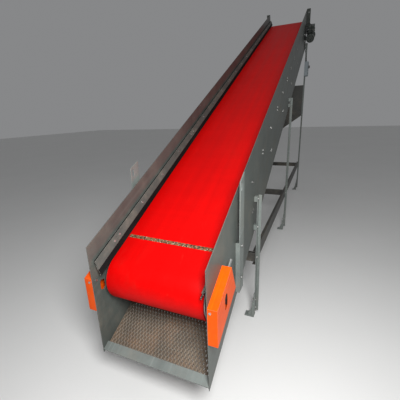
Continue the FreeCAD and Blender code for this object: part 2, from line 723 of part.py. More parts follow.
def guard():
    """Sheet box over the take-up, open towards the side plate."""
    def outline(wall):
        top = -GUARD_TOP_DROP - wall
        low = GUARD_LOW + wall
        front = wall / COS
        return [(top * TAN + front, top), (GUARD_BACK - wall, top),
                (GUARD_BACK - wall, low), (low * TAN + front, low)]
    def shell(wall, y1):
        return prism([(s, OUTER, t) for s, t in outline(wall)], (0, y1 - OUTER, 0))
    skin = shell(0.0, OUTER + GUARD_DEEP).cut(shell(GUARD_WALL, OUTER + GUARD_DEEP - GUARD_WALL))
    screw_hole = rod((GUARD_BACK - 20, OUTER + SCREW_Y, SCREW_T), (1, 0, 0),
                     SCREW_DIA / 2 + 3.0, 40.0)
    back_hole = clip_wall_hole(GUARD_BACK, CLIP_BACK_T)
    skin = tilt(cut(skin, [screw_hole, back_hole]))
    view_hole = slot_z(VIEW_S_X, *VIEW_Z, VIEW_R, OUTER + GUARD_DEEP - 10, OUTER + GUARD_DEEP + 10)
    return cut(skin, [view_hole, clip_wall_hole(0.0, CLIP_FRONT_Z)])


def slot_z(x, z0, z1, radius, y0, y1):
    return fuse([
        box(x - radius, x + radius, y0, y1, z0, z1),
        rod((x, y0, z0), (0, 1, 0), radius, y1 - y0),
        rod((x, y0, z1), (0, 1, 0), radius, y1 - y0),
    ])


def clip_wall_hole(at, high):
    return rod((at - 3 * SHEET, OUTER + CLIP_BOLT_OUT, high), (1, 0, 0),
               RAIL_BOLT / 2 + HOLE_CLEAR, 6 * SHEET)


def clip(wall, way, high):
    """Angle clip between a guard's wall and the side plate."""
    half = CLIP_SIZE / 2
    face = box(wall, wall + way * SHEET, OUTER, OUTER + CLIP_SIZE, high - half, high + half)
    leaf = box(wall, wall + way * CLIP_LEAF, OUTER, OUTER + SHEET, high - half, high + half)
    plate_hole = rod((wall + way * CLIP_BOLT_IN, OUTER - 1, high), (0, 1, 0),
                     RAIL_BOLT / 2 + HOLE_CLEAR, SHEET + 2)
    return cut(fuse([face, leaf]), [clip_wall_hole(wall, high), plate_hole])


def guard_clips():
    pieces = [clip(GUARD_WALL, 1, CLIP_FRONT_Z),
              tilt(clip(GUARD_BACK - GUARD_WALL, -1, CLIP_BACK_T))]
    return Part.makeCompound(pieces + [mirrored(p) for p in pieces])


def guard_bolts():
    """Bolts through the guards' walls and through the side plates, into the clips."""
    y = OUTER + CLIP_BOLT_OUT
    front_in = GUARD_WALL + CLIP_BOLT_IN
    back_in = GUARD_BACK - GUARD_WALL - CLIP_BOLT_IN
    pieces = [
        bolt((0, y, CLIP_FRONT_Z), (-1, 0, 0), RAIL_BOLT, GUARD_WALL + SHEET),
        bolt((front_in, INNER, CLIP_FRONT_Z), (0, -1, 0), RAIL_BOLT, 2 * SHEET),
        tilt(bolt((GUARD_BACK, y, CLIP_BACK_T), (1, 0, 0), RAIL_BOLT, GUARD_WALL + SHEET)),
        tilt(bolt((back_in, INNER, CLIP_BACK_T), (0, -1, 0), RAIL_BOLT, 2 * SHEET)),
    ]
    return Part.makeCompound(pieces + [mirrored(p) for p in pieces])


# ---- Head drive ---------------------------------------------------------------------
BEARING_DEEP = 40.0
BEARING_FLANGE = 14.0
BEARING_HALF = 55.0
BEARING_BOSS = 40.0
ARM_HALF = 60.0
GEAR_NEAR = OUTER + 47.0
GEAR_FAR = GEAR_NEAR + 106.0
GEAR_MID = (GEAR_NEAR + GEAR_FAR) / 2
GEAR_HALF = 76.0
GEAR_WALL = 8.0
GEAR_BELOW = 46.0             # housing below the worm's axis
GEAR_ABOVE = 78.0             # housing above the worm wheel's axis
WORM_T = AXIS_T - GEAR_CENTRES
WORM_R = 19.7
WHEEL_R = GEAR_CENTRES - WORM_R - RUN_GAP
MOTOR_SHAFT_R = 12.0
MOTOR_FLANGE = 12.0
MOTOR_LENGTH = 190.0
MOTOR_END = HEAD_S - GEAR_HALF - MOTOR_FLANGE - MOTOR_LENGTH
FAN_SPACE = 58.0


def flange_bearing(side):
    y0 = OUTER
    flange = box(HEAD_S - BEARING_HALF, HEAD_S + BEARING_HALF, y0, y0 + BEARING_FLANGE,
                 AXIS_T - BEARING_HALF, AXIS_T + BEARING_HALF)
    boss = rod((HEAD_S, y0, AXIS_T), (0, 1, 0), BEARING_BOSS, BEARING_DEEP)
    body = fuse([flange, boss])
    tools = [rod((HEAD_S, y0 - 1, AXIS_T), (0, 1, 0), HEAD_SHAFT_DIA / 2 + FIT, BEARING_DEEP + 2)]
    for ds in (-1, 1):
        for dt in (-1, 1):
            at = (HEAD_S + ds * BEARING_BOLTS, y0 - 1, AXIS_T + dt * BEARING_BOLTS)
            tools.append(rod(at, (0, 1, 0), BOLT / 2 + HOLE_CLEAR, 20.0))
    body = tilt(cut(body, tools))
    return body if side > 0 else mirrored(body)


def head_bearings():
    return Part.makeCompound([flange_bearing(1), flange_bearing(-1)])


def bearing_bolts():
    pieces = []
    for ds in (-1, 1):
        for dt in (-1, 1):
            at = (HEAD_S + ds * BEARING_BOLTS, OUTER + BEARING_FLANGE, AXIS_T + dt * BEARING_BOLTS)
            pieces.append(tilt(bolt(at, (0, 1, 0), BOLT, BEARING_FLANGE + SHEET)))
    return Part.makeCompound(pieces + [mirrored(p) for p in pieces])


def gearbox_housing():
    low = WORM_T - GEAR_BELOW
    top = AXIS_T + GEAR_ABOVE
    body = box(HEAD_S - GEAR_HALF, HEAD_S + GEAR_HALF, -GEAR_FAR, -GEAR_NEAR, low, top)
    across_edges = [e for e in body.Edges if abs(e.tangentAt(e.FirstParameter).y) > 0.9]
    body = body.makeFillet(14.0, across_edges)
    hollow = box(HEAD_S - GEAR_HALF + GEAR_WALL, HEAD_S + GEAR_HALF - GEAR_WALL,
                 -GEAR_FAR + GEAR_WALL, -GEAR_NEAR - GEAR_WALL, low + GEAR_WALL, top - GEAR_WALL)
    across = rod((HEAD_S, -GEAR_FAR - 1, AXIS_T), (0, 1, 0), HEAD_SHAFT_DIA / 2 + FIT,
                 GEAR_FAR - GEAR_NEAR + 2)
    along = rod((HEAD_S - GEAR_HALF - 1, -GEAR_MID, WORM_T), (1, 0, 0), MOTOR_SHAFT_R + FIT,
                GEAR_WALL + 2)
    ribs = []
    for t in (AXIS_T + 20.0, AXIS_T - 20.0, AXIS_T - 60.0):
        ribs.append(box(HEAD_S + GEAR_HALF, HEAD_S + GEAR_HALF + 4.0, -GEAR_FAR + 16.0,
                        -GEAR_NEAR - 16.0, t, t + 5.0))
    collar = tube((HEAD_S, -GEAR_FAR - 6.0, AXIS_T), (0, 1, 0), 36.0,
                  HEAD_SHAFT_DIA / 2 + FIT, 6.0)
    return tilt(fuse([body.cut(hollow).cut(across).cut(along), collar] + ribs))


def worm_wheel():
    return tilt(tube((HEAD_S, -GEAR_MID - 14.0, AXIS_T), (0, 1, 0), WHEEL_R,
                     HEAD_SHAFT_DIA / 2, 28.0))


def rotor_shaft():
    """Motor shaft with its rotor core, and the worm at the gearbox end."""
    start = MOTOR_END - FAN_SPACE + 14.0
    stop = HEAD_S + GEAR_HALF - GEAR_WALL - 4.0
    core = MOTOR_END + 34.0
    at_y = -GEAR_MID
    return tilt(fuse([
        rod((start, at_y, WORM_T), (1, 0, 0), MOTOR_SHAFT_R, stop - start),
        rod((core, at_y, WORM_T), (1, 0, 0), 35.0, 120.0),
        rod((HEAD_S - 38.0, at_y, WORM_T), (1, 0, 0), WORM_R, 76.0),
    ]))


def motor_frame():
    """Finned frame, stator bore and the two end shields in one casting."""
    at_y = -GEAR_MID
    barrel = rod((MOTOR_END, at_y, WORM_T), (1, 0, 0), MOTOR_RADIUS - 8.0, MOTOR_LENGTH)
    flange = rod((HEAD_S - GEAR_HALF - MOTOR_FLANGE, at_y, WORM_T), (1, 0, 0),
                 MOTOR_RADIUS + 6.0, MOTOR_FLANGE)
    pieces = [barrel, flange]
    for k in range(24):
        fin = box(MOTOR_END + 12.0, MOTOR_END + MOTOR_LENGTH - 14.0, at_y - 1.2, at_y + 1.2,
                  WORM_T + MOTOR_RADIUS - 14.0, WORM_T + MOTOR_RADIUS)
        pieces.append(fin.rotated(V(0, at_y, WORM_T), V(1, 0, 0), 15.0 * k))
    body = fuse(pieces)
    hollow = rod((MOTOR_END + 10.0, at_y, WORM_T), (1, 0, 0), 36.0, MOTOR_LENGTH - 22.0)
    bore = rod((MOTOR_END - 1, at_y, WORM_T), (1, 0, 0), MOTOR_SHAFT_R + FIT,
               MOTOR_LENGTH + MOTOR_FLANGE + 2)
    top = box(MOTOR_END, HEAD_S, at_y - 80, at_y + 80, BOX_LOW, BOX_LOW + 40)
    return tilt(body.cut(hollow).cut(bore).cut(top))


BOX_LOW = WORM_T + MOTOR_RADIUS - 6.0
BOX_HIGH = 52.0
BOX_S0 = MOTOR_END + 60.0
BOX_S1 = MOTOR_END + 150.0
BOX_HALF = 45.0
GLAND_OUT = 24.0
GLAND_R = 9.0


def fan_cowl():
    at_y = -GEAR_MID
    start = MOTOR_END - FAN_SPACE
    cup = rod((start, at_y, WORM_T), (1, 0, 0), MOTOR_RADIUS, FAN_SPACE)
    hollow = rod((start + 2.0, at_y, WORM_T), (1, 0, 0), MOTOR_RADIUS - 2.0, FAN_SPACE)
    spigot = tube((MOTOR_END - 8.0, at_y, WORM_T), (1, 0, 0), MOTOR_RADIUS, MOTOR_RADIUS - 8.0, 8.0)
    slots = []
    for k in range(-4, 5):
        t = WORM_T + 12.0 * k
        reach = math.sqrt(max((MOTOR_RADIUS - 14.0) ** 2 - (12.0 * k) ** 2, 100.0))
        slots.append(box(start - 1, start + 3, at_y - reach, at_y + reach, t - 2.5, t + 2.5))
    centre = rod((start, at_y, WORM_T), (1, 0, 0), 12.0, 2.0)
    return tilt(fuse([cut(cup.cut(hollow), slots), spigot, centre]))


def cooling_fan():
    at_y = -GEAR_MID
    start = MOTOR_END - FAN_SPACE + 14.0
    pieces = [rod((start, at_y, WORM_T), (1, 0, 0), 20.0, 26.0)]
    for k in range(8):
        blade = box(start, start + 24.0, at_y - 1.5, at_y + 1.5, WORM_T + 15.0, WORM_T + 58.0)
        pieces.append(blade.rotated(V(0, at_y, WORM_T), V(1, 0, 0), 45.0 * k))
    bore = rod((start - 1, at_y, WORM_T), (1, 0, 0), MOTOR_SHAFT_R, 30.0)
    return tilt(fuse(pieces).cut(bore))


def terminal_box():
    at_y = -GEAR_MID
    base = box(BOX_S0, BOX_S1, at_y - BOX_HALF, at_y + BOX_HALF, BOX_LOW, BOX_LOW + BOX_HIGH - 8)
    lid = box(BOX_S0 - 3, BOX_S1 + 3, at_y - BOX_HALF - 3, at_y + BOX_HALF + 3,
              BOX_LOW + BOX_HIGH - 8, BOX_LOW + BOX_HIGH)
    screws = [rod((s, y, BOX_LOW + BOX_HIGH), (0, 0, 1), 4.0, 2.5)
              for s in (BOX_S0 + 6, BOX_S1 - 6)
              for y in (at_y - BOX_HALF + 6, at_y + BOX_HALF - 6)]
    hollow = box(BOX_S0 + 3, BOX_S1 - 3, at_y - BOX_HALF + 3, at_y + BOX_HALF - 3,
                 BOX_LOW + 3, BOX_LOW + BOX_HIGH - 9)
    entry = rod((BOX_S0 - 1, MOTOR_GLAND[1], MOTOR_GLAND[2]), (1, 0, 0), CABLE_DIA / 2, 6.0)
    return tilt(fuse([base, lid] + screws).cut(hollow).cut(entry))


MOTOR_GLAND = (BOX_S0, -GEAR_MID - BOX_HALF + 20.0, BOX_LOW + 22.0)


def torque_arm():
    """Bracket between the side plate and the gearbox, against the drive's turning force."""
    low = WORM_T - GEAR_BELOW
    foot = box(HEAD_S - ARM_HALF, HEAD_S + ARM_HALF, -OUTER - 6.0, -OUTER, low - 60.0, low - 5.0)
    shelf = box(HEAD_S - ARM_HALF, HEAD_S + ARM_HALF, -GEAR_FAR + 12.0, -OUTER, low - 6.0, low)
    rib = prism([(HEAD_S - 3, -OUTER - 6, low - 6), (HEAD_S - 3, -OUTER - 6, low - 56),
                 (HEAD_S - 3, -GEAR_NEAR - 50, low - 6)], (6, 0, 0))
    return tilt(fuse([foot, shelf, rib]))


# ---- Isolator and cable -------------------------------------------------------------
ISO_WIDE = 180.0
ISO_DEEP = 70.0
ISO_LOW = FLOOR_Z + 2335.0
ISO_HIGH = 250.0
ISO_BACK = LEG_IN + LEG_WALL
ISO_X1 = LEG_X[2] + LEG_WIDE / 2 - LEG_WALL - 2.0
ISO_X0 = ISO_X1 - ISO_WIDE
ISO_MID = (ISO_X0 + ISO_X1) / 2
ISO_GLAND_X = ISO_X0 + 60.0
ISO_CABLE_Y = -(ISO_BACK + 26.0)
KNOB_Z = ISO_LOW + 160.0
CABLE_Y = -(OUTER + 8.0)
CABLE_LOOP = 55.0             # radius of the cable's loop beside the motor
CLIP_RUNS = (7, 8)            # runs of the cable that a clip holds
CLIP_LONG = 14.0


def isolator_box():
    y1 = -ISO_BACK
    y0 = y1 - ISO_DEEP
    body = box(ISO_X0, ISO_X1, y0 + 10, y1, ISO_LOW, ISO_LOW + ISO_HIGH)
    door = box(ISO_X0 + 3, ISO_X1 - 3, y0, y0 + 10, ISO_LOW + 3, ISO_LOW + ISO_HIGH - 3)
    hollow = box(ISO_X0 + 3, ISO_X1 - 3, y0 + 8, y1 - 3, ISO_LOW + 5, ISO_LOW + ISO_HIGH - 5)
    spindle = rod((ISO_MID, y0 - 1, KNOB_Z), (0, 1, 0), 6.0 + FIT, 14.0)
    entry = rod((ISO_GLAND_X, ISO_CABLE_Y, ISO_LOW + ISO_HIGH - 8), (0, 0, 1), CABLE_DIA / 2, 10.0)
    return fuse([body, door]).cut(hollow).cut(spindle).cut(entry)


def isolator_knob():
    face = -ISO_BACK - ISO_DEEP
    spindle = rod((ISO_MID, face - 4.0, KNOB_Z), (0, 1, 0), 6.0, 16.0)
    disc = rod((ISO_MID, face - 10.0, KNOB_Z), (0, 1, 0), 26.0, 10.0 - RUN_GAP)
    grip = box(ISO_MID - 7, ISO_MID + 7, face - 26.0, face - 8.0, KNOB_Z - 24.0, KNOB_Z + 24.0)
    return fuse([disc, grip, spindle])


def gland(at, axis):
    """Cable gland: hexagon at the wall, then a dome nut that the cable leaves."""
    out = V(*axis).normalize()
    start = V(*at)
    body = hexagon(start, out, GLAND_R + 2.0, 8.0)
    nose = Part.makeCylinder(GLAND_R, GLAND_OUT - 8.0, start + out * 8.0, out)
    return fuse([body, nose]).cut(Part.makeCylinder(CABLE_DIA / 2, GLAND_OUT, start, out))


def motor_gland():
    return tilt(gland(MOTOR_GLAND, (-1, 0, 0)))


def isolator_gland():
    return gland((ISO_GLAND_X, ISO_CABLE_Y, ISO_LOW + ISO_HIGH), (0, 0, 1))


def cable_glands():
    return Part.makeCompound([motor_gland(), isolator_gland()])


def cable_points():
    """Route from the motor's gland over a loop, behind the motor and down to the isolator."""
    s, y, t = MOTOR_GLAND
    loop_s = s - 130.0
    loop_y = CABLE_Y - CABLE_LOOP
    loop_t = -205.0
    corner = CABLE_LOOP / math.cos(math.pi / 8)
    route = [(s, y, t), (s - 75.0, y, t), (s - 125.0, y + 4.0, t + 48.0)]
    for k in (7, 5, 3, 1):
        turn = k * math.pi / 8
        route.append((loop_s, loop_y + corner * math.cos(turn), loop_t + corner * math.sin(turn)))
    points = [level(*p) for p in route]
    low = ISO_LOW + ISO_HIGH
    x = ISO_GLAND_X
    points.append((x - 262.0, CABLE_Y, low + 466.0))
    points.append((x - 210.0, CABLE_Y, low + 372.0))
    points.append((x - 122.0, CABLE_Y - 2.0, low + 292.0))
    points.append((x - 48.0, CABLE_Y - 8.0, low + 212.0))
    points.append((x - 8.0, ISO_CABLE_Y + 18.0, low + 138.0))
    points.append((x, ISO_CABLE_Y, low + 72.0))
    points.append((x, ISO_CABLE_Y, low))
    return [V(*p) for p in points]


def arc_path(points):
    """Straight runs joined by tangent arcs, each as large as its two runs allow."""
    edges = []
    at = points[0]
    radii = []
    for before, here, after in zip(points, points[1:], points[2:]):
        into = (here - before).normalize()
        out = (after - here).normalize()
        turn = into.getAngle(out)
        run = min((here - before).Length, (after - here).Length)
        trim = 0.45 * run
        radii.append(trim / math.tan(turn / 2))
        first = here - into * trim
        last = here + out * trim
        inward = (out - into).normalize()
        centre = here + inward * (radii[-1] / math.cos(turn / 2))
        middle = centre - inward * radii[-1]
        edges.append(Part.LineSegment(at, first).toShape())
        edges.append(Part.Arc(first, middle, last).toShape())
        at = last
    edges.append(Part.LineSegment(at, points[-1]).toShape())
    return Part.Wire(edges), radii


def motor_cable():
    points = cable_points()
    path, radii = arc_path(points)
    profile = Part.Wire(Part.makeCircle(CABLE_DIA / 2, points[0], points[1] - points[0]))
    solid = path.makePipeShell([profile], True, False)
    area = math.pi * CABLE_DIA ** 2 / 4
    print("cable length %.0f, radii %s" % (path.Length, [round(r) for r in radii]))
    print("cable volume ratio %.4f" % (solid.Volume / (area * path.Length)))
    return solid


def cable_clips():
    """Saddle clips that hold the cable against the right side plate."""
    points = cable_points()
    pieces = []
    for k in CLIP_RUNS:
        before, a, b, after = points[k - 1:k + 3]
        run = (b - a).Length
        first = 0.45 * min(run, (a - before).Length)
        last = run - 0.45 * min(run, (after - b).Length)
        along = (b - a).normalize()
        start = a + along * ((first + last) / 2 - CLIP_LONG / 2)
        side = V(0, -1, 0).cross(along).normalize()
        saddle = Part.makeCylinder(CABLE_DIA / 2 + 2.0, CLIP_LONG, start, along)
        base = clip_block(start, along, side, 14.0, 3.0)
        bridge = clip_block(start, along, side, CABLE_DIA / 2 + 2.0, -CABLE_Y - OUTER)
        body = fuse([saddle, base, bridge])
        body = body.cut(Part.makeCylinder(CABLE_DIA / 2, 4 * CLIP_LONG, start - along * 20, along))
        mid = start + along * (CLIP_LONG / 2)
        pieces.append(body.common(box(mid.x - 80, mid.x + 80, -OUTER - 30, -OUTER,
                                      mid.z - 80, mid.z + 80)))
    return Part.makeCompound(pieces)


def clip_block(start, along, side, half, deep):
    """Block on the right side plate's face, under one end of a clip's saddle."""
    corners = [start - side * half, start + side * half,
               start + side * half + along * CLIP_LONG, start - side * half + along * CLIP_LONG]
    return prism([(q.x, -OUTER, q.z) for q in corners], (0, -deep, 0))


# ---- Posts at the tail --------------------------------------------------------------
def lug_post(side):
    """Bar that stands off the side plate on its lower web, with a slot at its top."""
    top = POST_TOPS[side]
    x1 = POST_X + POST_WIDE
    y0 = OUTER + POST_STANDOFF
    outline = [(POST_X, y0, POST_LOW), (x1, y0, POST_LOW), (x1, y0, top),
               (POST_X, y0, top - POST_WIDE * TAN)]
    bar = prism(outline, (0, LEG_WALL, 0))
    web = box(POST_X, POST_X + LEG_WALL, OUTER, y0 + LEG_WALL, POST_LOW, POST_WEB_TOP)
    low, high = POST_SLOT_DROPS
    tools = [slot_z(POST_SLOT_X, top - low, top - high, POST_SLOT_R, y0 - 1, y0 + LEG_WALL + 1)]
    for z in POST_BOLT_HIGHS:
        tools.append(rod((POST_BOLT_X, y0 - 1, z), (0, 1, 0), BOLT / 2 + HOLE_CLEAR, LEG_WALL + 2))
    packers = [packer(POST_BOLT_X, z, POST_STANDOFF) for z in POST_BOLT_HIGHS]
    post = Part.makeCompound([cut(fuse([bar, web]), tools)] + packers)
    return post if side > 0 else mirrored(post)


def lug_posts():
    return Part.makeCompound([lug_post(1), lug_post(-1)])


# ---- Leg frames ---------------------------------------------------------------------
LEG_CLEAR = 45.0              # leg's lower end above the floor
FOOT_LONG = 80.0
FOOT_WIDE = 60.0
FOOT_THICK = 8.0
FOOT_UPRIGHT = 6.0
FOOT_HOLE_X = 16.0            # floor plate's hole off the leg's middle
FOOT_HOLE_Y = 24.0            # floor plate's hole off its inner edge
GUSSET_DEEP = 52.0
GUSSET_HIGH = 130.0
GUSSET_X = -21.0
BACK_RIB = (5.0, 14.0, 150.0) # thickness, depth and height
FOOT_PLATE_HIGH = 230.0
FOOT_BOLT_HIGHS = (90.0, 165.0)
FOOT_SLOT = 40.0
TIE_MID = 567.0
TIE_HIGH = 115.0
TIE_DEEP = 25.0
TIE_PAST = 30.0               # tie rails past the end legs
CROSS_HIGH = 75.0
CROSS_DEEP = 30.0
FRAME_BOLT = 12.0
PANEL_TOP = FLOOR_Z + 2176.0
PANEL_SIDE = FLOOR_Z + 1590.0
PANEL_MID = FLOOR_Z + 1330.0
PANEL_BAND = FLOOR_Z + 1670.0
PANEL_BAND_HIGH = 80.0
PANEL_BAND_DEEP = 24.0
PANEL_BAND_RISE = 20.0
PANEL_FOLD = 25.0
PANEL_IN = 6.0                # behind the head legs' tail faces


def leg(index):
    x = LEG_X[index]
    half = LEG_WIDE / 2
    low = FLOOR_Z + LEG_CLEAR
    top = plate_low_z(x) + LEG_OVERLAP[index]
    leaf = box(x - half, x + half, LEG_IN, LEG_IN + LEG_WALL, low, top)
    rib = box(x + half - LEG_WALL, x + half, LEG_IN, LEG_IN + LEG_NARROW, low, top)
    tools = []
    for px, pz in leg_bolt_points()[2 * index:2 * index + 2]:
        tools.append(rod((px, LEG_IN - 1, pz), (0, 1, 0), BOLT / 2 + HOLE_CLEAR, LEG_WALL + 2))
    for high in FOOT_BOLT_HIGHS:
        tools.append(rod((x - LEG_BOLT_BACK, LEG_IN - 1, FLOOR_Z + high), (0, 1, 0),
                         FRAME_BOLT / 2 + HOLE_CLEAR, LEG_WALL + 2))
    tools.append(rod((x - LEG_BOLT_BACK, LEG_IN - 1, FLOOR_Z + TIE_MID), (0, 1, 0),
                     FRAME_BOLT / 2 + HOLE_CLEAR, LEG_WALL + 2))
    return cut(fuse([leaf, rib]), tools)


def leg_pair(index):
    bolts = leg_bolt_points()[2 * index:2 * index + 2]
    pieces = [leg(index)] + [packer(x, z, LEG_STANDOFF) for x, z in bolts]
    return Part.makeCompound(pieces + [mirrored(p) for p in pieces])


def foot(x):
    """Adjustable foot: slotted upright, floor plate and two gussets."""
    y1 = LEG_IN
    y0 = y1 - FOOT_UPRIGHT
    low = FLOOR_Z
    half = FOOT_WIDE / 2
    upright = box(x - half, x + half - LEG_WALL - 3.0, y0, y1, low, low + FOOT_PLATE_HIGH)
    base = box(x - half, x + half, y1 - FOOT_LONG, y1, low, low + FOOT_THICK)
    at = x + GUSSET_X
    gusset = prism([(at, y0, low + FOOT_THICK), (at, y0 - GUSSET_DEEP, low + FOOT_THICK),
                    (at, y0, low + GUSSET_HIGH)], (FOOT_UPRIGHT, 0, 0))
    thick, deep, high = BACK_RIB
    back_rib = box(x - half, x - half + thick, y0 - deep, y0, low, low + high)
    tools = []
    for high in FOOT_BOLT_HIGHS:
        z = low + high
        tools.append(slot_z(x - LEG_BOLT_BACK, z - FOOT_SLOT / 2, z + FOOT_SLOT / 2,
                            FRAME_BOLT / 2 + HOLE_CLEAR, y0 - 30, y1 + 1))
    tools.append(rod((x + FOOT_HOLE_X, y1 - FOOT_LONG + FOOT_HOLE_Y, low - 1), (0, 0, 1), FOOT_HOLE_DIA / 2,
                     FOOT_THICK + 2))
    shape = fuse([upright, base, back_rib, gusset])
    return cut(shape, tools)


def adjustable_feet():
    pieces = [foot(x) for x in LEG_X]
    return Part.makeCompound(pieces + [mirrored(p) for p in pieces])


def tie_rails():
    """Channels along both sides, inside the legs, from the first leg to the last."""
    x0 = LEG_X[0] - TIE_PAST
    x1 = LEG_X[-1] + TIE_PAST
    low = FLOOR_Z + TIE_MID - TIE_HIGH / 2
    top = low + TIE_HIGH
    web = box(x0, x1, LEG_IN - SHEET, LEG_IN, low, top)
    flanges = [box(x0, x1, LEG_IN - TIE_DEEP, LEG_IN, z, z + SHEET) for z in (low, top - SHEET)]
    rail = fuse([web] + flanges)
    tools = []
    for x in LEG_X:
        tools.append(rod((x - LEG_BOLT_BACK, LEG_IN - SHEET - 1, FLOOR_Z + TIE_MID), (0, 1, 0),
                         FRAME_BOLT / 2 + HOLE_CLEAR, SHEET + 2))
    rail = cut(rail, tools)
    return Part.makeCompound([rail, mirrored(rail)])


def leg_cross_members():
    """A folded channel across each leg frame, with its ends inside the tie rails."""
    pieces = []
    reach = LEG_IN - SHEET
    for x in LEG_X:
        low = FLOOR_Z + TIE_MID - CROSS_HIGH / 2
        top = low + CROSS_HIGH
        mid = x - LEG_BOLT_BACK
        bar = box(mid - CROSS_DEEP / 2, mid + CROSS_DEEP / 2, -reach, reach, low, top)
        hollow = box(mid - CROSS_DEEP / 2 + SHEET, mid + CROSS_DEEP, -reach + SHEET,
                     reach - SHEET, low + SHEET, top - SHEET)
        hole = rod((x - LEG_BOLT_BACK, -reach - 1, FLOOR_Z + TIE_MID), (0, 1, 0),
                   FRAME_BOLT / 2 + HOLE_CLEAR, 2 * reach + 2)
        pieces.append(bar.cut(hollow).cut(hole))
    return Part.makeCompound(pieces)


def frame_bolts():
    """Bolts of the feet and of the tie rails on the legs."""
    pieces = []
    for x in LEG_X:
        for high in FOOT_BOLT_HIGHS:
            pieces.append(bolt((x - LEG_BOLT_BACK, LEG_IN + LEG_WALL, FLOOR_Z + high), (0, 1, 0),
                               FRAME_BOLT, LEG_WALL + FOOT_UPRIGHT))
        pieces.append(bolt((x - LEG_BOLT_BACK, LEG_IN + LEG_WALL, FLOOR_Z + TIE_MID), (0, 1, 0),
                           FRAME_BOLT, LEG_WALL + 2 * SHEET))
    return Part.makeCompound(pieces + [mirrored(p) for p in pieces])


def bracing_panel():
    """Sheet across the head end frame, cut to a shallow V below, with a stiff fold."""
    x = LEG_X[2] - LEG_WIDE / 2 + PANEL_IN
    reach = LEG_IN
    outline = [(x, -reach, PANEL_TOP), (x, reach, PANEL_TOP), (x, reach, PANEL_SIDE),
               (x, 0, PANEL_MID), (x, -reach, PANEL_SIDE)]
    sheet = prism(outline, (SHEET, 0, 0))
    front = x - PANEL_BAND_DEEP
    band = box(front, x, -reach, reach, PANEL_BAND, PANEL_BAND + SHEET)
    face = box(front, front + SHEET, -reach, reach,
               PANEL_BAND - PANEL_BAND_HIGH + PANEL_BAND_RISE, PANEL_BAND + SHEET)
    top_fold = box(x, x + PANEL_FOLD, -reach, reach, PANEL_TOP - SHEET, PANEL_TOP)
    return fuse([sheet, band, face, top_fold])


# ---- The whole object ---------------------------------------------------------------
def pieces():
    made = {
        "side_plate_left": side_plate(1),
        "side_plate_right": side_plate(-1),
        "tail_crossbar": tail_crossbar(),
        "belly_mesh": belly_mesh(),
        "belly_angles": belly_angles(),
        "slider_bed": slider_bed(),
        "bed_cross_members": cross_members(),
        "plate_bolts": plate_bolts(),
        "skirt_strips_left": skirt_strips(),
        "skirt_strips_right": mirrored(skirt_strips()),
        "skirt_rubber_left": skirt_rubber(),
        "skirt_rubber_right": mirrored(skirt_rubber()),
        "skirt_cleats": skirt_cleats(),
        "skirt_bolts": skirt_bolts(),
        "belt": belt(),
        "belt_lacing": belt_lacing(),
        "tail_drum": drum(TAIL_S, TAIL_SHAFT_DIA),
        "tail_shaft": tail_shaft(),
        "take_up_blocks": take_up_blocks(),
        "take_up_screws": take_up_screws(),
        "take_up_frames": take_up_frames(),
        "take_up_nuts": take_up_nuts(),
        "tail_guard_left": guard(),
        "tail_guard_right": mirrored(guard()),
        "guard_clips": guard_clips(),
        "guard_bolts": guard_bolts(),
        "head_drum": drum(HEAD_S, HEAD_SHAFT_DIA),
        "head_shaft": head_shaft(),
        "head_bearings": head_bearings(),
        "bearing_bolts": bearing_bolts(),
        "worm_wheel": worm_wheel(),
        "gearbox_housing": gearbox_housing(),
        "motor_frame": motor_frame(),
        "rotor_shaft": rotor_shaft(),
        "cooling_fan": cooling_fan(),
        "fan_cowl": fan_cowl(),
        "terminal_box": terminal_box(),
        "torque_arm": torque_arm(),
        "cable_glands": cable_glands(),
        "motor_cable": motor_cable(),
        "cable_clips": cable_clips(),
        "isolator_box": isolator_box(),
        "isolator_knob": isolator_knob(),
        "roller_shafts": roller_shafts(),
        "roller_hangers": roller_hangers(),
        "lug_posts": lug_posts(),
        "legs_tail_end": leg_pair(0),
        "legs_middle": leg_pair(1),
        "legs_head_end": leg_pair(2),
        "adjustable_feet": adjustable_feet(),
        "tie_rails": tie_rails(),
        "leg_cross_members": leg_cross_members(),
        "frame_bolts": frame_bolts(),
        "bracing_panel": bracing_panel(),
    }
    for k, s in enumerate(roller_places()):
        made["return_roller_%d" % (k + 1)] = return_roller(s)
    return made


def origin_shift(made):
    """Vector from the level frame to the row frame: bottom centre of the whole box."""
    whole = FreeCAD.BoundBox()
    for shape in made.values():
        whole.add(shape.optimalBoundingBox(False))
    return V(-(whole.XMin + whole.XMax) / 2, -(whole.YMin + whole.YMax) / 2, -whole.ZMin)


def main():
    os.makedirs("parts", exist_ok=True)
    made = pieces()
    shift = origin_shift(made)
    print("row frame shift %.3f %.3f %.3f" % (shift.x, shift.y, shift.z))
    for name, shape in made.items():
        shape.translated(shift).exportStep("parts/%s.step" % name)


if __name__ == "__main__":
    main()
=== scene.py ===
import math

import bmesh
import bpy
from bpy.props import FloatProperty, FloatVectorProperty, IntProperty, PointerProperty
from mathutils import Matrix, Vector


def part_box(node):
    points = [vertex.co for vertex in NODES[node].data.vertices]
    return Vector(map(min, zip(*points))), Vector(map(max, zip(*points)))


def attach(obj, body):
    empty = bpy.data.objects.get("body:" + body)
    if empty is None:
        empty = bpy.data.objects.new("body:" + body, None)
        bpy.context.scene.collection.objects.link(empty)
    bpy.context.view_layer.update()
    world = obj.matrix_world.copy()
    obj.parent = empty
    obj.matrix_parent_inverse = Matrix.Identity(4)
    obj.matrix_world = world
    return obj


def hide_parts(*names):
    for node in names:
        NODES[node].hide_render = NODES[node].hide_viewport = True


# Looks of an inclined belt conveyor section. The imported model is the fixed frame, in
# metres. Pieces that the frame shows too plainly are remodelled here, and every surface
# gets a finish of its own.

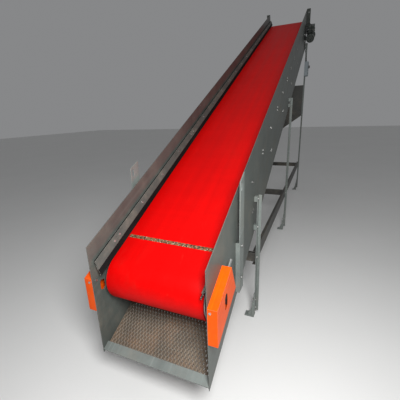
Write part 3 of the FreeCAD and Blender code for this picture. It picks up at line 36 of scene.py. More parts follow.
bl_info = {
    "name": "Inclined Belt Conveyor",
    "version": (1, 0, 0),
    "blender": (4, 5, 0),
    "location": "View3D > Sidebar > Conveyor",
    "description": "Belt, pan mesh, skirts, fasteners and finishes for a belt conveyor section",
    "category": "Object",
}

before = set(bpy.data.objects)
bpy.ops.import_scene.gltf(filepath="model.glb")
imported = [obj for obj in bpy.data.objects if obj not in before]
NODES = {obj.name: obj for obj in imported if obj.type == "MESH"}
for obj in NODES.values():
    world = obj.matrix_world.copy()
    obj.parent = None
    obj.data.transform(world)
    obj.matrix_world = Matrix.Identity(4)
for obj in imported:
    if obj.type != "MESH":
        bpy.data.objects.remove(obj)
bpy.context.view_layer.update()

MM = 0.001


# ---- Where things are ---------------------------------------------------------------
def centre(node):
    low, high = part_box(node)
    return (low + high) / 2


TAIL_AXIS = centre("tail_drum")
HEAD_AXIS = centre("head_drum")
RUN = HEAD_AXIS - TAIL_AXIS
INCLINE = math.atan2(RUN.z, RUN.x)
# The slope frame: x along the belt from the tail drum's axis, z square to the belt.
SLOPE = Matrix.Translation(TAIL_AXIS) @ Matrix.Rotation(-INCLINE, 4, "Y")


def slope_span(node):
    """Lowest and highest corner of a node in the slope frame."""
    level_to_slope = SLOPE.inverted()
    places = [level_to_slope @ v.co for v in NODES[node].data.vertices]
    low = Vector([min(p[k] for p in places) for k in range(3)])
    high = Vector([max(p[k] for p in places) for k in range(3)])
    return low, high


# ---- Modelling steps ----------------------------------------------------------------
def clear_selection():
    if bpy.context.object and bpy.context.object.mode != "OBJECT":
        bpy.ops.object.mode_set(mode="OBJECT")
    bpy.ops.object.select_all(action="DESELECT")


def start(name, add, **sizes):
    """Adds a primitive with nothing else selected, and names it."""
    clear_selection()
    add(**sizes)
    piece = bpy.context.active_object
    piece.name = name
    piece.data.name = name
    return piece


def only(piece):
    clear_selection()
    piece.select_set(True)
    bpy.context.view_layer.objects.active = piece


def edit(piece, kind="FACE"):
    only(piece)
    bpy.ops.object.mode_set(mode="EDIT")
    bpy.ops.mesh.select_mode(type=kind)


def done():
    bpy.ops.object.mode_set(mode="OBJECT")


def pick(piece, kind, test):
    """Selects the vertices, edges or faces whose middle passes the test."""
    bpy.ops.mesh.select_mode(type=kind)
    bpy.ops.mesh.select_all(action="DESELECT")
    shape = bmesh.from_edit_mesh(piece.data)
    parts = {"VERT": shape.verts, "EDGE": shape.edges, "FACE": shape.faces}[kind]
    for part in parts:
        corners = [part] if kind == "VERT" else part.verts
        middle = sum((v.co for v in corners), Vector()) / len(corners)
        if test(middle):
            part.select_set(True)
    shape.select_flush_mode()
    bmesh.update_edit_mesh(piece.data)


def freeze(piece):
    """Puts an object's place, turn and size into its mesh."""
    only(piece)
    bpy.ops.object.transform_apply(location=True, rotation=True, scale=True)


def modify(piece, kind, **settings):
    """Adds one modifier and applies it."""
    only(piece)
    added = piece.modifiers.new(kind.lower(), kind)
    for name, value in settings.items():
        setattr(added, name, value)
    bpy.ops.object.modifier_apply(modifier=added.name)


def round_edges(piece, width, sharper):
    """Rounds the edges that turn by more than so many degrees."""
    modify(
        piece,
        "BEVEL",
        width=width,
        segments=2,
        limit_method="ANGLE",
        angle_limit=math.radians(sharper),
    )


def repeat(piece, count, step):
    modify(
        piece,
        "ARRAY",
        count=count,
        use_relative_offset=False,
        use_constant_offset=True,
        constant_offset_displace=step,
    )


def copy_of(piece, name):
    twin = piece.copy()
    twin.data = piece.data.copy()
    twin.name = name
    bpy.context.scene.collection.objects.link(twin)
    return twin


def join(pieces, name):
    clear_selection()
    for piece in pieces:
        piece.select_set(True)
    bpy.context.view_layer.objects.active = pieces[0]
    bpy.ops.object.join()
    pieces[0].name = name
    pieces[0].data.name = name
    return pieces[0]


def tidy_shell(piece, distance=0.00002):
    """Merges doubles and turns every face outwards."""
    edit(piece)
    bpy.ops.mesh.select_all(action="SELECT")
    bpy.ops.mesh.remove_doubles(threshold=distance)
    bpy.ops.mesh.normals_make_consistent(inside=False)
    done()


def smooth(piece, degrees=35):
    only(piece)
    bpy.ops.object.shade_smooth_by_angle(angle=math.radians(degrees))


def settle(piece, body, nodes, finish):
    """Tilts a piece from the slope frame into the row frame and hands it to the frame."""
    piece.matrix_world = SLOPE @ piece.matrix_world
    freeze(piece)
    piece.data.materials.clear()
    piece.data.materials.append(finish)
    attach(piece, body)
    if nodes:
        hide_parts(*nodes)


# ---- Finishes -----------------------------------------------------------------------
class Field:
    """A shader socket that takes part in sums, so that a pattern reads as arithmetic."""

    def __init__(self, finish, socket):
        self.finish = finish
        self.socket = socket

    def sum(self, operation, first, second):
        return self.finish.node("ShaderNodeMath", {"operation": operation}, {0: first, 1: second})

    def __add__(self, other):
        return self.sum("ADD", self, other)

    def __radd__(self, other):
        return self.sum("ADD", other, self)

    def __sub__(self, other):
        return self.sum("SUBTRACT", self, other)

    def __rsub__(self, other):
        return self.sum("SUBTRACT", other, self)

    def __mul__(self, other):
        return self.sum("MULTIPLY", self, other)

    def clamp(self):
        settings = {"operation": "ADD", "use_clamp": True}
        return self.finish.node("ShaderNodeMath", settings, {0: self, 1: 0.0})

    def over(self, low, high):
        """0 below low, 1 above high, and a smooth step between them."""
        settings = {"interpolation_type": "SMOOTHSTEP"}
        sockets = {"Value": self, "From Min": low, "From Max": high}
        return self.finish.node("ShaderNodeMapRange", settings, sockets)


class Finish:
    """One procedural material, built node by node."""

    def __init__(self, name, **constants):
        self.material = bpy.data.materials.new(name)
        self.material.use_nodes = True
        self.tree = self.material.node_tree
        self.shader = self.tree.nodes["Principled BSDF"]
        for socket, value in constants.items():
            self.shader.inputs[socket.replace("_", " ")].default_value = value
        self.place = self.node("ShaderNodeTexCoord", output="Object")

    def node(self, kind, settings=None, sockets=None, output=0):
        made = self.tree.nodes.new(kind)
        for key, value in (settings or {}).items():
            setattr(made, key, value)
        for key, value in (sockets or {}).items():
            self.feed(made.inputs[key], value)
        return Field(self, made.outputs[output])

    def feed(self, socket, value):
        if isinstance(value, Field):
            self.tree.links.new(value.socket, socket)
        elif isinstance(value, (tuple, list)) and socket.type == "RGBA" and len(value) == 3:
            socket.default_value = (*value, 1.0)
        else:
            socket.default_value = value

    def put(self, **values):
        """Feeds the main shader's sockets; an underscore stands for a space."""
        for name, value in values.items():
            self.feed(self.shader.inputs[name.replace("_", " ")], value)

    def along_slope(self, long, across):
        """Object coordinates turned with the slope, so that a pattern runs long and thin."""
        sockets = {
            "Vector": self.place,
            "Rotation": (0.0, -INCLINE, 0.0),
            "Scale": (long, across, across),
        }
        return self.node("ShaderNodeMapping", {"vector_type": "TEXTURE"}, sockets)

    def plumb(self, wide, tall):
        """Object coordinates stretched upright, for drips and runs."""
        sockets = {"Vector": self.place, "Scale": (wide, wide, tall)}
        return self.node("ShaderNodeMapping", {"vector_type": "TEXTURE"}, sockets)

    def noise(self, scale, detail=4.0, rough=0.55, place=None, distort=0.0):
        sockets = {
            "Vector": place or self.place,
            "Scale": scale,
            "Detail": detail,
            "Roughness": rough,
            "Distortion": distort,
        }
        return self.node("ShaderNodeTexNoise", None, sockets)

    def cells(self, scale, place=None):
        sockets = {"Vector": place or self.place, "Scale": scale}
        return self.node("ShaderNodeTexVoronoi", None, sockets)

    def blend(self, first, second, factor, how="MIX"):
        settings = {"data_type": "RGBA", "blend_type": how, "clamp_factor": True}
        return self.node("ShaderNodeMix", settings, {0: factor, 6: first, 7: second}, 2)

    def rounded(self, radius):
        """Normal that rounds the sharp edges of folded and sawn metal."""
        return self.node("ShaderNodeBevel", {"samples": 4}, {"Radius": radius})

    def edges(self, rounded):
        """1 along a worn edge, 0 on the flat."""
        flat = self.node("ShaderNodeNewGeometry", output="Normal")
        settings = {"operation": "DOT_PRODUCT"}
        facing = self.node("ShaderNodeVectorMath", settings, {0: rounded, 1: flat}, "Value")
        return ((1.0 - facing) * 6.0).clamp()

    def relief(self, height, strength, distance, normal=None):
        sockets = {"Height": height, "Strength": strength, "Distance": distance}
        if normal:
            sockets["Normal"] = normal
        self.put(Normal=self.node("ShaderNodeBump", None, sockets))


def shade(colour, factor):
    return tuple(min(1.0, channel * factor) for channel in colour)


DUST = (0.26, 0.22, 0.17)
BARE = (0.42, 0.41, 0.39)
RUST = (0.2, 0.09, 0.04)
PALE_RUST = (0.2, 0.105, 0.05)
GRIME = (0.03, 0.018, 0.012)
RUBBED_BRASS = (0.75, 0.66, 0.5)
BELT_SCUFF = (0.8, 0.05, 0.03)
BELT_FILM = (0.4, 0.02, 0.012)
RUBBER_DUST = (0.08, 0.07, 0.06)
CLOTH_PLIES = (0.3, 0.28, 0.25)
FLOOR_TONES = ((0.7, 0.7, 0.69), (0.76, 0.76, 0.75))


def painted_steel(
    name, colour, dust=0.25, wear=0.5, gloss=0.45, streaks=0.5, edge=0.0022, shine=0.35
):
    """Sprayed and dried enamel on sheet steel: orange peel, rub marks, dust and worn edges."""
    finish = Finish(name, Specular_IOR_Level=shine)
    rounded = finish.rounded(edge)
    broad = finish.noise(1.9, 6.0, 0.6)
    grain = finish.noise(70.0, 5.0, 0.65)
    rubbed = finish.noise(9.0, 6.0, 0.7, finish.along_slope(9.0, 0.45))
    runs = finish.noise(6.0, 4.0, 0.6, finish.plumb(0.35, 5.0))
    scratch = finish.noise(30.0, 2.0, 0.4, finish.along_slope(30.0, 0.5), 0.4).over(0.64, 0.7)
    tone = broad * 0.55 + rubbed * streaks * 0.5 + runs * 0.25
    base = finish.blend(shade(colour, 0.66), shade(colour, 1.36), tone.over(0.25, 0.85))
    dirt = (finish.noise(3.3, 8.0, 0.72).over(0.46, 0.72) * dust).clamp()
    base = finish.blend(base, DUST, dirt)
    base = finish.blend(base, shade(colour, 1.8), scratch * 0.28)
    chipped = (finish.edges(rounded) + grain * 0.9 - 1.05 + wear * 0.35).over(0.0, 0.22) * wear
    base = finish.blend(base, BARE, chipped)
    finish.put(
        Base_Color=base,
        Metallic=chipped * 0.7,
        Roughness=(gloss + dirt * 0.5 + rubbed * 0.22 - 0.1).clamp(),
    )
    finish.relief(grain * 0.5 + broad * 0.8 - chipped * 0.6, 0.16, 0.0012, rounded)
    return finish.material


def rolled_steel(name, colour, roughness=0.32, turned=60.0, rust=0.15, edge=0.0012):
    """Bare or plated steel: fine tool marks, dull patches and a little rust."""
    finish = Finish(name, Metallic=0.92)
    rounded = finish.rounded(edge)
    marks = finish.noise(turned, 3.0, 0.5, finish.along_slope(0.2, 1.0))
    patches = finish.noise(14.0, 6.0, 0.65)
    spots = finish.noise(55.0, 6.0, 0.7).over(0.6, 0.72) * rust
    base = finish.blend(shade(colour, 0.7), shade(colour, 1.2), patches.over(0.3, 0.7))
    base = finish.blend(base, RUST, spots)
    dull = (roughness + patches * 0.25 + spots * 0.4 - 0.1).clamp()
    finish.put(Base_Color=base, Roughness=dull)
    finish.relief(marks, 0.12, 0.0006, rounded)
    return finish.material


def fastener_metal(name, colour):
    """Yellow metal with dark grime between its loops and rub-bright spots on top."""
    finish = Finish(name, Specular_IOR_Level=0.4)
    grime = finish.noise(75.0, 3.0, 0.6).over(0.45, 0.55)
    spots = finish.noise(110.0, 2.0, 0.5).over(0.6, 0.66)
    base = finish.blend(colour, GRIME, grime * 0.9)
    base = finish.blend(base, RUBBED_BRASS, spots * 0.8)
    finish.put(Base_Color=base, Metallic=0.3 + spots * 0.4, Roughness=0.5 + grime * 0.3)
    return finish.material


def cast_iron(name, colour, gloss=0.5):
    """Painted casting with a pebbled skin."""
    finish = Finish(name, Specular_IOR_Level=0.45)
    rounded = finish.rounded(0.003)
    pebbles = finish.noise(160.0, 4.0, 0.6)
    broad = finish.noise(7.0, 5.0, 0.6)
    dirt = finish.noise(18.0, 7.0, 0.7).over(0.5, 0.75) * 0.45
    chipped = (finish.edges(rounded) + pebbles - 1.1).over(0.0, 0.25) * 0.6
    base = finish.blend(shade(colour, 0.7), shade(colour, 1.35), broad.over(0.3, 0.7))
    base = finish.blend(base, DUST, dirt)
    base = finish.blend(base, BARE, chipped)
    finish.put(Base_Color=base, Metallic=chipped * 0.7, Roughness=(gloss + dirt * 0.4).clamp())
    finish.relief(pebbles + broad * 0.5, 0.3, 0.0012, rounded)
    return finish.material


def moulded_plastic(name, colour, roughness, texture):
    """Moulded plastic with a fine spark texture and handling marks."""
    finish = Finish(name, Specular_IOR_Level=0.5)
    rounded = finish.rounded(0.0015)
    sparks = finish.noise(texture, 2.0, 0.5)
    broad = finish.noise(12.0, 5.0, 0.6)
    smears = finish.noise(30.0, 6.0, 0.65, None, 0.5).over(0.5, 0.75)
    base = finish.blend(shade(colour, 0.82), shade(colour, 1.15), broad)
    base = finish.blend(base, DUST, smears * 0.22)
    finish.put(Base_Color=base, Roughness=(roughness + smears * 0.25).clamp())
    finish.relief(sparks, 0.14, 0.0004, rounded)
    return finish.material


def belt_cover(name, colour):
    """Smooth plastic cover with a faint fabric print, lengthwise rub marks and dust."""
    finish = Finish(name, Specular_IOR_Level=0.08)
    lanes = finish.noise(7.0, 5.0, 0.6, finish.along_slope(14.0, 0.5))
    cross = finish.noise(5.0, 4.0, 0.6, finish.along_slope(0.35, 7.0))
    broad = finish.noise(1.3, 5.0, 0.6)
    weave = finish.noise(420.0, 2.0, 0.5, finish.along_slope(1.0, 1.6))
    scuffs = finish.noise(26.0, 5.0, 0.62, finish.along_slope(7.0, 1.0), 0.3).over(0.63, 0.72)
    tone = lanes * 0.5 + cross * 0.2 + broad * 0.4
    base = finish.blend(shade(colour, 0.84), shade(colour, 1.1), tone.over(0.3, 0.8))
    base = finish.blend(base, BELT_SCUFF, scuffs * 0.16)
    film = finish.noise(4.0, 8.0, 0.75, finish.along_slope(3.0, 1.0)).over(0.52, 0.8)
    base = finish.blend(base, BELT_FILM, film * 0.3)
    dull = (0.42 + lanes * 0.16 + film * 0.2 + scuffs * 0.15).clamp()
    finish.put(Base_Color=base, Roughness=dull)
    finish.relief(weave * 0.35 + lanes * 0.5 + scuffs * 0.2, 0.1, 0.0008)
    return finish.material


def sheet_rubber(name, colour):
    """Matt sheet rubber; a cut end shows pale threads of its cloth plies."""
    finish = Finish(name, Specular_IOR_Level=0.12)
    broad = finish.noise(3.0, 6.0, 0.65)
    grit = finish.noise(95.0, 6.0, 0.7)
    dust = finish.noise(6.0, 8.0, 0.75, finish.along_slope(5.0, 1.0)).over(0.5, 0.8)
    base = finish.blend(shade(colour, 0.6), shade(colour, 2.0), broad.over(0.3, 0.8))
    base = finish.blend(base, RUBBER_DUST, dust * 0.12)
    settings = {"operation": "DOT_PRODUCT"}
    flat = finish.node("ShaderNodeNewGeometry", output="True Normal")
    sockets = {0: flat, 1: (-1.0, 0.0, 0.0)}
    cut_end = finish.node("ShaderNodeVectorMath", settings, sockets, "Value").over(0.8, 0.95)
    threads = finish.cells(260.0).over(0.55, 0.7)
    base = finish.blend(base, CLOTH_PLIES, threads * cut_end)
    finish.put(Base_Color=base, Roughness=(0.62 + grit * 0.25).clamp())
    finish.relief(grit, 0.25, 0.0008)
    return finish.material


def pan_mesh_steel(name, colour):
    """Expanded steel, dull and rust-tinged, with dust lying on its strands."""
    finish = Finish(name, Specular_IOR_Level=0.4)
    broad = finish.noise(2.6, 5.0, 0.6)
    spots = finish.noise(60.0, 5.0, 0.7)
    rust = (finish.noise(5.0, 7.0, 0.7).over(0.42, 0.7) * 0.75).clamp()
    base = finish.blend(shade(colour, 0.65), shade(colour, 1.4), broad.over(0.3, 0.75))
    base = finish.blend(base, PALE_RUST, rust * spots)
    base = finish.blend(base, DUST, finish.noise(1.2, 4.0).over(0.45, 0.7) * 0.4)
    finish.put(Base_Color=base, Metallic=0.35 - rust * 0.25, Roughness=(0.5 + spots * 0.3).clamp())
    finish.relief(spots, 0.3, 0.0006)
    return finish.material


def floor_finish(name):
    finish = Finish(name, Specular_IOR_Level=0.2)
    broad = finish.noise(0.7, 5.0, 0.6)
    base = finish.blend(*FLOOR_TONES, broad)
    finish.put(Base_Color=base, Roughness=0.75 + broad * 0.1)
    return finish.material


# ---- Sizes and colours --------------------------------------------------------------
def length(name, description, default):
    return FloatProperty(
        name=name, description=description, default=default, unit="LENGTH", precision=4
    )


def colour(name, description, default):
    return FloatVectorProperty(
        name=name, description=description, default=default, subtype="COLOR", size=3, min=0, max=1
    )


class ConveyorSizes(bpy.types.PropertyGroup):
    mesh_long: length("Mesh long way", "Length of a mesh diamond, along the belt", 44 * MM)
    mesh_short: length("Mesh short way", "Width of a mesh diamond, across the belt", 22 * MM)
    mesh_strand: length("Mesh strand", "Width of one strand of the mesh", 12 * MM)
    mesh_gauge: length("Mesh gauge", "Thickness of the mesh's sheet", 2 * MM)
    panel_gap: length("Panel gap", "Gap between two mesh panels", 2 * MM)
    panels: IntProperty(name="Panels", description="Mesh panels in the pan", default=3)
    belt_round: length("Belt edge round", "Round on the belt's cut edges", 1.5 * MM)
    fasteners: IntProperty(name="Fasteners", description="Plates across the belt", default=24)
    skew: FloatProperty(
        name="Fastener skew",
        description="How far the row of fasteners is out of square",
        default=math.radians(-0.9),
        subtype="ANGLE",
    )
    rivet: length("Rivet head", "Radius of a rivet's head", 2.1 * MM)
    skirt_thick: length("Skirt thickness", "Thickness of the skirt rubber", 8 * MM)
    skirt_lean: FloatProperty(
        name="Skirt lean",
        description="How far the skirts lean in over the belt",
        default=math.radians(25),
        subtype="ANGLE",
    )
    skirt_wave: length("Skirt wave", "How far the skirt's free edge wanders", 1.2 * MM)


class ConveyorColours(bpy.types.PropertyGroup):
    belt: colour("Belt", "Cover of the belt", (0.56, 0.0005, 0.0005))
    guard: colour("Guard", "Enamel of the tail guards", (0.82, 0.085, 0.0005))
    plate: colour("Plate", "Enamel of the side plates", (0.064, 0.073, 0.066))
    strip: colour("Strip", "Enamel of the skirt strips", (0.056, 0.06, 0.054))
    steelwork: colour("Steelwork", "Enamel of legs, posts and crossbar", (0.15, 0.17, 0.16))
    dark: colour("Dark steel", "Enamel of rails, panel and cross members", (0.035, 0.034, 0.03))
    gearbox: colour("Gearbox", "Enamel of the gearbox", (0.05, 0.062, 0.055))
    motor: colour("Motor", "Enamel of the motor", (0.04, 0.05, 0.045))
    isolator: colour("Isolator", "Plastic of the isolator box", (0.25, 0.29, 0.31))
    rubber: colour("Rubber", "Skirts and cable", (0.004, 0.004, 0.004))
    mesh: colour("Mesh", "Expanded steel of the pan", (0.115, 0.092, 0.068))
    zinc: colour("Zinc", "Plated bolts, nuts and rollers", (0.6, 0.6, 0.58))
    steel: colour("Bare steel", "Drums, shafts and bed", (0.42, 0.41, 0.4))
    lacing: colour("Lacing", "Belt fastener plates", (0.22, 0.13, 0.055))


# ---- Pieces -------------------------------------------------------------------------
BELT_CLEAR = 0.3 * MM        # between the belt and a drum
BELT_WRAP_STEPS = 40         # faces round each half turn
BELT_RUN_CUTS = 48           # along the carrying and the return run
BELT_WIDTH_CUTS = 5

FASTENER_GAP = 2 * MM
FASTENER_GAUGE = 1.5 * MM
FASTENER_ROUND = 0.6 * MM
RIVET_ALONG = (-0.36, -0.2, 0.2, 0.36)   # shares of a plate's length, from its middle
RIVET_ACROSS = (0.25, 0.75)              # shares of its width
RIVET_FLAT = 0.35
LOOPS = (0.2, 0.5, 0.8)                  # where the hinge loops stand, shares of its width
LOOP_WIDE = 0.22
LOOP_RADIUS = 2.0 * MM
LOOP_RIM = 0.5 * MM
PIN_RADIUS = 1.1 * MM
PIN_HIGH = 1.8 * MM          # above the belt's face
PIN_ROUND = 0.3 * MM

SKIRT_CUTS = 150
SKIRT_WAVE_LONG = 0.35
SKIRT_ROUND = 0.8 * MM

STRAND_TWIST = 0.3           # share of a strand's width
MESH_MERGE = 0.05 * MM


class CONVEYOR_OT_belt(bpy.types.Operator):
    """Belt round both drums, with rounded edges"""

    bl_idname = "conveyor.belt"
    bl_label = "Belt"

    def execute(self, context):
        sizes = context.scene.conveyor_sizes
        low, high = slope_span("belt")
        outer = -low.x
        inner = -slope_span("tail_drum")[0].x
        thick = outer - inner - BELT_CLEAR
        width = high.y - low.y
        reach = high.x - outer
        belt = start("belt_loop", bpy.ops.mesh.primitive_plane_add, size=1.0)
        belt.scale = (reach, width, 1.0)
        belt.location = (reach / 2, (low.y + high.y) / 2, outer)
        freeze(belt)
        edit(belt, "EDGE")
        for end, angle in ((reach, -math.pi), (0, math.pi)):
            pick(belt, "EDGE", lambda p: abs(p.x - end) < MM and p.z > 0)
            bpy.ops.mesh.spin(
                steps=BELT_WRAP_STEPS,
                angle=angle,
                center=(end, 0, 0),
                axis=(0, 1, 0),
                use_auto_merge=False,
            )
        pick(belt, "EDGE", lambda p: p.z < MM - outer and min(abs(p.x), abs(p.x - reach)) < MM)
        bpy.ops.mesh.bridge_edge_loops()
        done()
        tidy_shell(belt)
        edit(belt, "EDGE")
        pick(belt, "EDGE", lambda p: MM < p.x < reach - MM and abs(p.y) > width / 2 - MM)
        bpy.ops.mesh.subdivide(number_cuts=BELT_RUN_CUTS)
        pick(belt, "EDGE", lambda p: abs(p.y) < MM)
        bpy.ops.mesh.subdivide(number_cuts=BELT_WIDTH_CUTS)
        done()
        modify(belt, "SOLIDIFY", thickness=thick, offset=-1.0, use_even_offset=True)
        round_edges(belt, sizes.belt_round, 60)
        smooth(belt)
        finish = belt_cover("belt_cover", tuple(context.scene.conveyor_colours.belt))
        settle(belt, "frame", ["belt"], finish)
        return {"FINISHED"}


class CONVEYOR_OT_fasteners(bpy.types.Operator):
    """Row of riveted plates with hinge loops that closes the belt"""

    bl_idname = "conveyor.fasteners"
    bl_label = "Belt fasteners"

    def execute(self, context):
        sizes = context.scene.conveyor_sizes
        low, high = slope_span("belt_lacing")
        reach = high.y - low.y
        pitch = (reach + FASTENER_GAP) / sizes.fasteners
        wide = pitch - FASTENER_GAP
        long = high.x - low.x
        middle = (low + high) / 2
        across = middle.x
        plate = start("fastener", bpy.ops.mesh.primitive_cube_add, size=1.0)
        plate.scale = (long, wide, FASTENER_GAUGE)
        plate.location = (across, low.y + wide / 2, low.z + FASTENER_GAUGE / 2)
        freeze(plate)
        edit(plate)
        pick(plate, "EDGE", lambda p: abs(p.y - low.y - wide / 2) < wide / 4)
        bpy.ops.mesh.bevel(offset=FASTENER_ROUND, segments=2)
        done()
        parts = [plate]
        for along in RIVET_ALONG:
            for side in RIVET_ACROSS:
                at = (across + along * long, low.y + wide * side, low.z + FASTENER_GAUGE)
                head = start(
                    "rivet",
                    bpy.ops.mesh.primitive_uv_sphere_add,
                    segments=8,
                    ring_count=6,
                    radius=sizes.rivet,
                    location=at,
                )
                head.scale = (1.0, 1.0, RIVET_FLAT)
                freeze(head)
                edit(head)
                bpy.ops.mesh.select_all(action="SELECT")
                bpy.ops.mesh.bisect(plane_co=at, plane_no=(0, 0, 1), clear_inner=True)
                done()
                parts.append(head)
        for side in LOOPS:
            loop = start(
                "loop",
                bpy.ops.mesh.primitive_cylinder_add,
                vertices=12,
                radius=LOOP_RADIUS,
                depth=wide * LOOP_WIDE,
                location=(across, low.y + wide * side, low.z + PIN_HIGH),
                rotation=(math.pi / 2, 0, 0),
            )
            freeze(loop)
            edit(loop)
            pick(loop, "FACE", lambda p: abs(p.x - across) < MM * 0.1)
            bpy.ops.mesh.inset(thickness=LOOP_RIM)
            done()
            parts.append(loop)
        row = join(parts, "fastener_row")
        repeat(row, sizes.fasteners, (0.0, pitch, 0.0))
        pin = start(
            "hinge_pin",
            bpy.ops.mesh.primitive_cylinder_add,
            vertices=10,
            radius=PIN_RADIUS,
            depth=reach,
            location=(across, middle.y, low.z + PIN_HIGH),
            rotation=(math.pi / 2, 0, 0),
        )
        freeze(pin)
        edit(pin)
        pick(pin, "EDGE", lambda p: abs(abs(p.y - middle.y) - reach / 2) < MM)
        bpy.ops.mesh.bevel(offset=PIN_ROUND, segments=1)
        done()
        row = join([row, pin], "fastener_row")
        turn = Matrix.Translation(middle) @ Matrix.Rotation(sizes.skew, 4, "Z")
        row.matrix_world = turn @ Matrix.Translation(-middle) @ row.matrix_world
        freeze(row)
        smooth(row)
        brass = fastener_metal("fastener_metal", tuple(context.scene.conveyor_colours.lacing))
        settle(row, "frame", ["belt_lacing"], brass)
        return {"FINISHED"}


class CONVEYOR_OT_skirts(bpy.types.Operator):
    """Rubber skirts that lean in over the belt, their free edges a little wavy"""

    bl_idname = "conveyor.skirts"
    bl_label = "Skirts"

    def execute(self, context):
        sizes = context.scene.conveyor_sizes
        rubber = sheet_rubber("skirt_rubber", tuple(context.scene.conveyor_colours.rubber))
        for side, sign in (("left", 1), ("right", -1)):
            low, high = slope_span("skirt_rubber_" + side)
            skirt = self.skirt(sizes, side, sign, low, high)
            settle(skirt, "frame", ["skirt_rubber_" + side], rubber)
        return {"FINISHED"}

    def skirt(self, sizes, side, sign, low, high):
        """A long slab, leant over, cut along the belt and plumb at its front end."""
        thick = sizes.skirt_thick
        lean = sizes.skirt_lean
        long = high.x - low.x
        deep = (high.z - low.z) / math.cos(lean) + 2 * thick
        wall = high.y if sign > 0 else low.y
        hinge = Vector((0, wall - sign * thick * math.cos(lean), high.z))
        name = "skirt_" + side
        slab = start(name, bpy.ops.mesh.primitive_cube_add, size=1.0)
        slab.scale = (long, thick, deep)
        middle = (low.x + high.x) / 2
        slab.location = (middle, hinge.y + sign * thick / 2, hinge.z - deep / 2)
        freeze(slab)
        pivot = Matrix.Translation(hinge)
        turn = pivot @ Matrix.Rotation(-sign * lean, 4, "X") @ pivot.inverted()
        slab.matrix_world = turn @ slab.matrix_world
        freeze(slab)
        edit(slab)
        bpy.ops.mesh.select_all(action="SELECT")
        bpy.ops.mesh.bisect(
            plane_co=(0, 0, low.z), plane_no=(0, 0, 1), clear_inner=True, use_fill=True
        )
        pick(slab, "EDGE", lambda p: abs(p.x - middle) < MM)
        bpy.ops.mesh.subdivide(number_cuts=SKIRT_CUTS)
        bpy.ops.mesh.select_all(action="SELECT")
        level_to_slope = SLOPE.inverted()
        bpy.ops.mesh.bisect(
            plane_co=level_to_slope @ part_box("skirt_rubber_" + side)[0],
            plane_no=level_to_slope.to_3x3() @ Vector((1, 0, 0)),
            clear_inner=True,
            use_fill=True,
        )
        done()
        free = slab.vertex_groups.new(name="free_edge")
        rows = [v.index for v in slab.data.vertices if v.co.z < low.z + MM]
        free.add(rows, 1.0, "REPLACE")
        clouds = bpy.data.textures.new(name + "_wave", "CLOUDS")
        clouds.noise_scale = SKIRT_WAVE_LONG
        modify(
            slab,
            "DISPLACE",
            texture=clouds,
            vertex_group="free_edge",
            direction="Y",
            strength=2 * sizes.skirt_wave,
            texture_coords="LOCAL",
        )
        round_edges(slab, SKIRT_ROUND, 40)
        smooth(slab)
        return slab


class CONVEYOR_OT_pan_mesh(bpy.types.Operator):
    """Expanded mesh panels of the pan under the belt"""

    bl_idname = "conveyor.pan_mesh"
    bl_label = "Pan mesh"

    def execute(self, context):
        sizes = context.scene.conveyor_sizes
        low, high = slope_span("belly_mesh")
        panel = (high.x - low.x + sizes.panel_gap) / sizes.panels
        finish = pan_mesh_steel("pan_mesh_steel", tuple(context.scene.conveyor_colours.mesh))
        for k in range(sizes.panels):
            start_x = low.x + k * panel
            stop_x = start_x + panel - sizes.panel_gap
            name = "pan_mesh_%d" % (k + 1)
            mesh = self.panel(sizes, name, start_x, stop_x, low, high)
            settle(mesh, "frame", ["belly_mesh"], finish)
        return {"FINISHED"}

    def panel(self, sizes, name, start_x, stop_x, low, high):
        """One diamond ring with twisted strands, repeated and trimmed to the panel."""
        long, short = sizes.mesh_long, sizes.mesh_short
        middle = (low.z + high.z) / 2
        ring = start(
            "diamond",
            bpy.ops.mesh.primitive_circle_add,
            vertices=4,
            radius=0.5,
            fill_type="NGON",
            location=(start_x, low.y, middle),
        )
        ring.scale = (long, short, 1.0)
        freeze(ring)
        edit(ring)
        bpy.ops.mesh.select_all(action="SELECT")
        bpy.ops.mesh.inset(thickness=sizes.mesh_strand / 2)
        bpy.ops.mesh.delete(type="ONLY_FACE")
        twist = sizes.mesh_strand * STRAND_TWIST
        inside = short / 2 - twist
        for sign in (-1, 1):
            pick(ring, "VERT", lambda p: 0.1 * MM < sign * (p.y - low.y) < inside)
            bpy.ops.transform.translate(value=(0, 0, -sign * twist))
        done()
        twin = copy_of(ring, "diamond_between")
        twin.location = (long / 2, short / 2, 0)
        freeze(twin)
        sheet = join([ring, twin], name)
        counts = ((stop_x - start_x) / long, (high.y - low.y) / short)
        for count, step in zip(counts, ((long, 0, 0), (0, short, 0))):
            repeat(sheet, math.ceil(count) + 1, step)
        edit(sheet)
        bpy.ops.mesh.select_all(action="SELECT")
        bpy.ops.mesh.remove_doubles(threshold=MESH_MERGE)
        for at, away in (
            ((start_x, 0, 0), (-1, 0, 0)),
            ((stop_x, 0, 0), (1, 0, 0)),
            ((0, low.y, 0), (0, -1, 0)),
            ((0, high.y, 0), (0, 1, 0)),
        ):
            bpy.ops.mesh.select_all(action="SELECT")
            bpy.ops.mesh.bisect(plane_co=at, plane_no=away, clear_outer=True)
        done()
        modify(sheet, "SOLIDIFY", thickness=sizes.mesh_gauge, offset=0.0)
        return sheet


# ---- Finishes of the frame's own nodes ----------------------------------------------
BEARING_ENAMEL = (0.05, 0.055, 0.058)
BRONZE = (0.5, 0.3, 0.1)
BLACK_PLASTIC = (0.02, 0.02, 0.021)


def dress(nodes, finish):
    """Gives frame nodes a finish. Their meshes stay as they are."""
    for node in nodes:
        for slot in NODES[node].material_slots:
            slot.material = finish


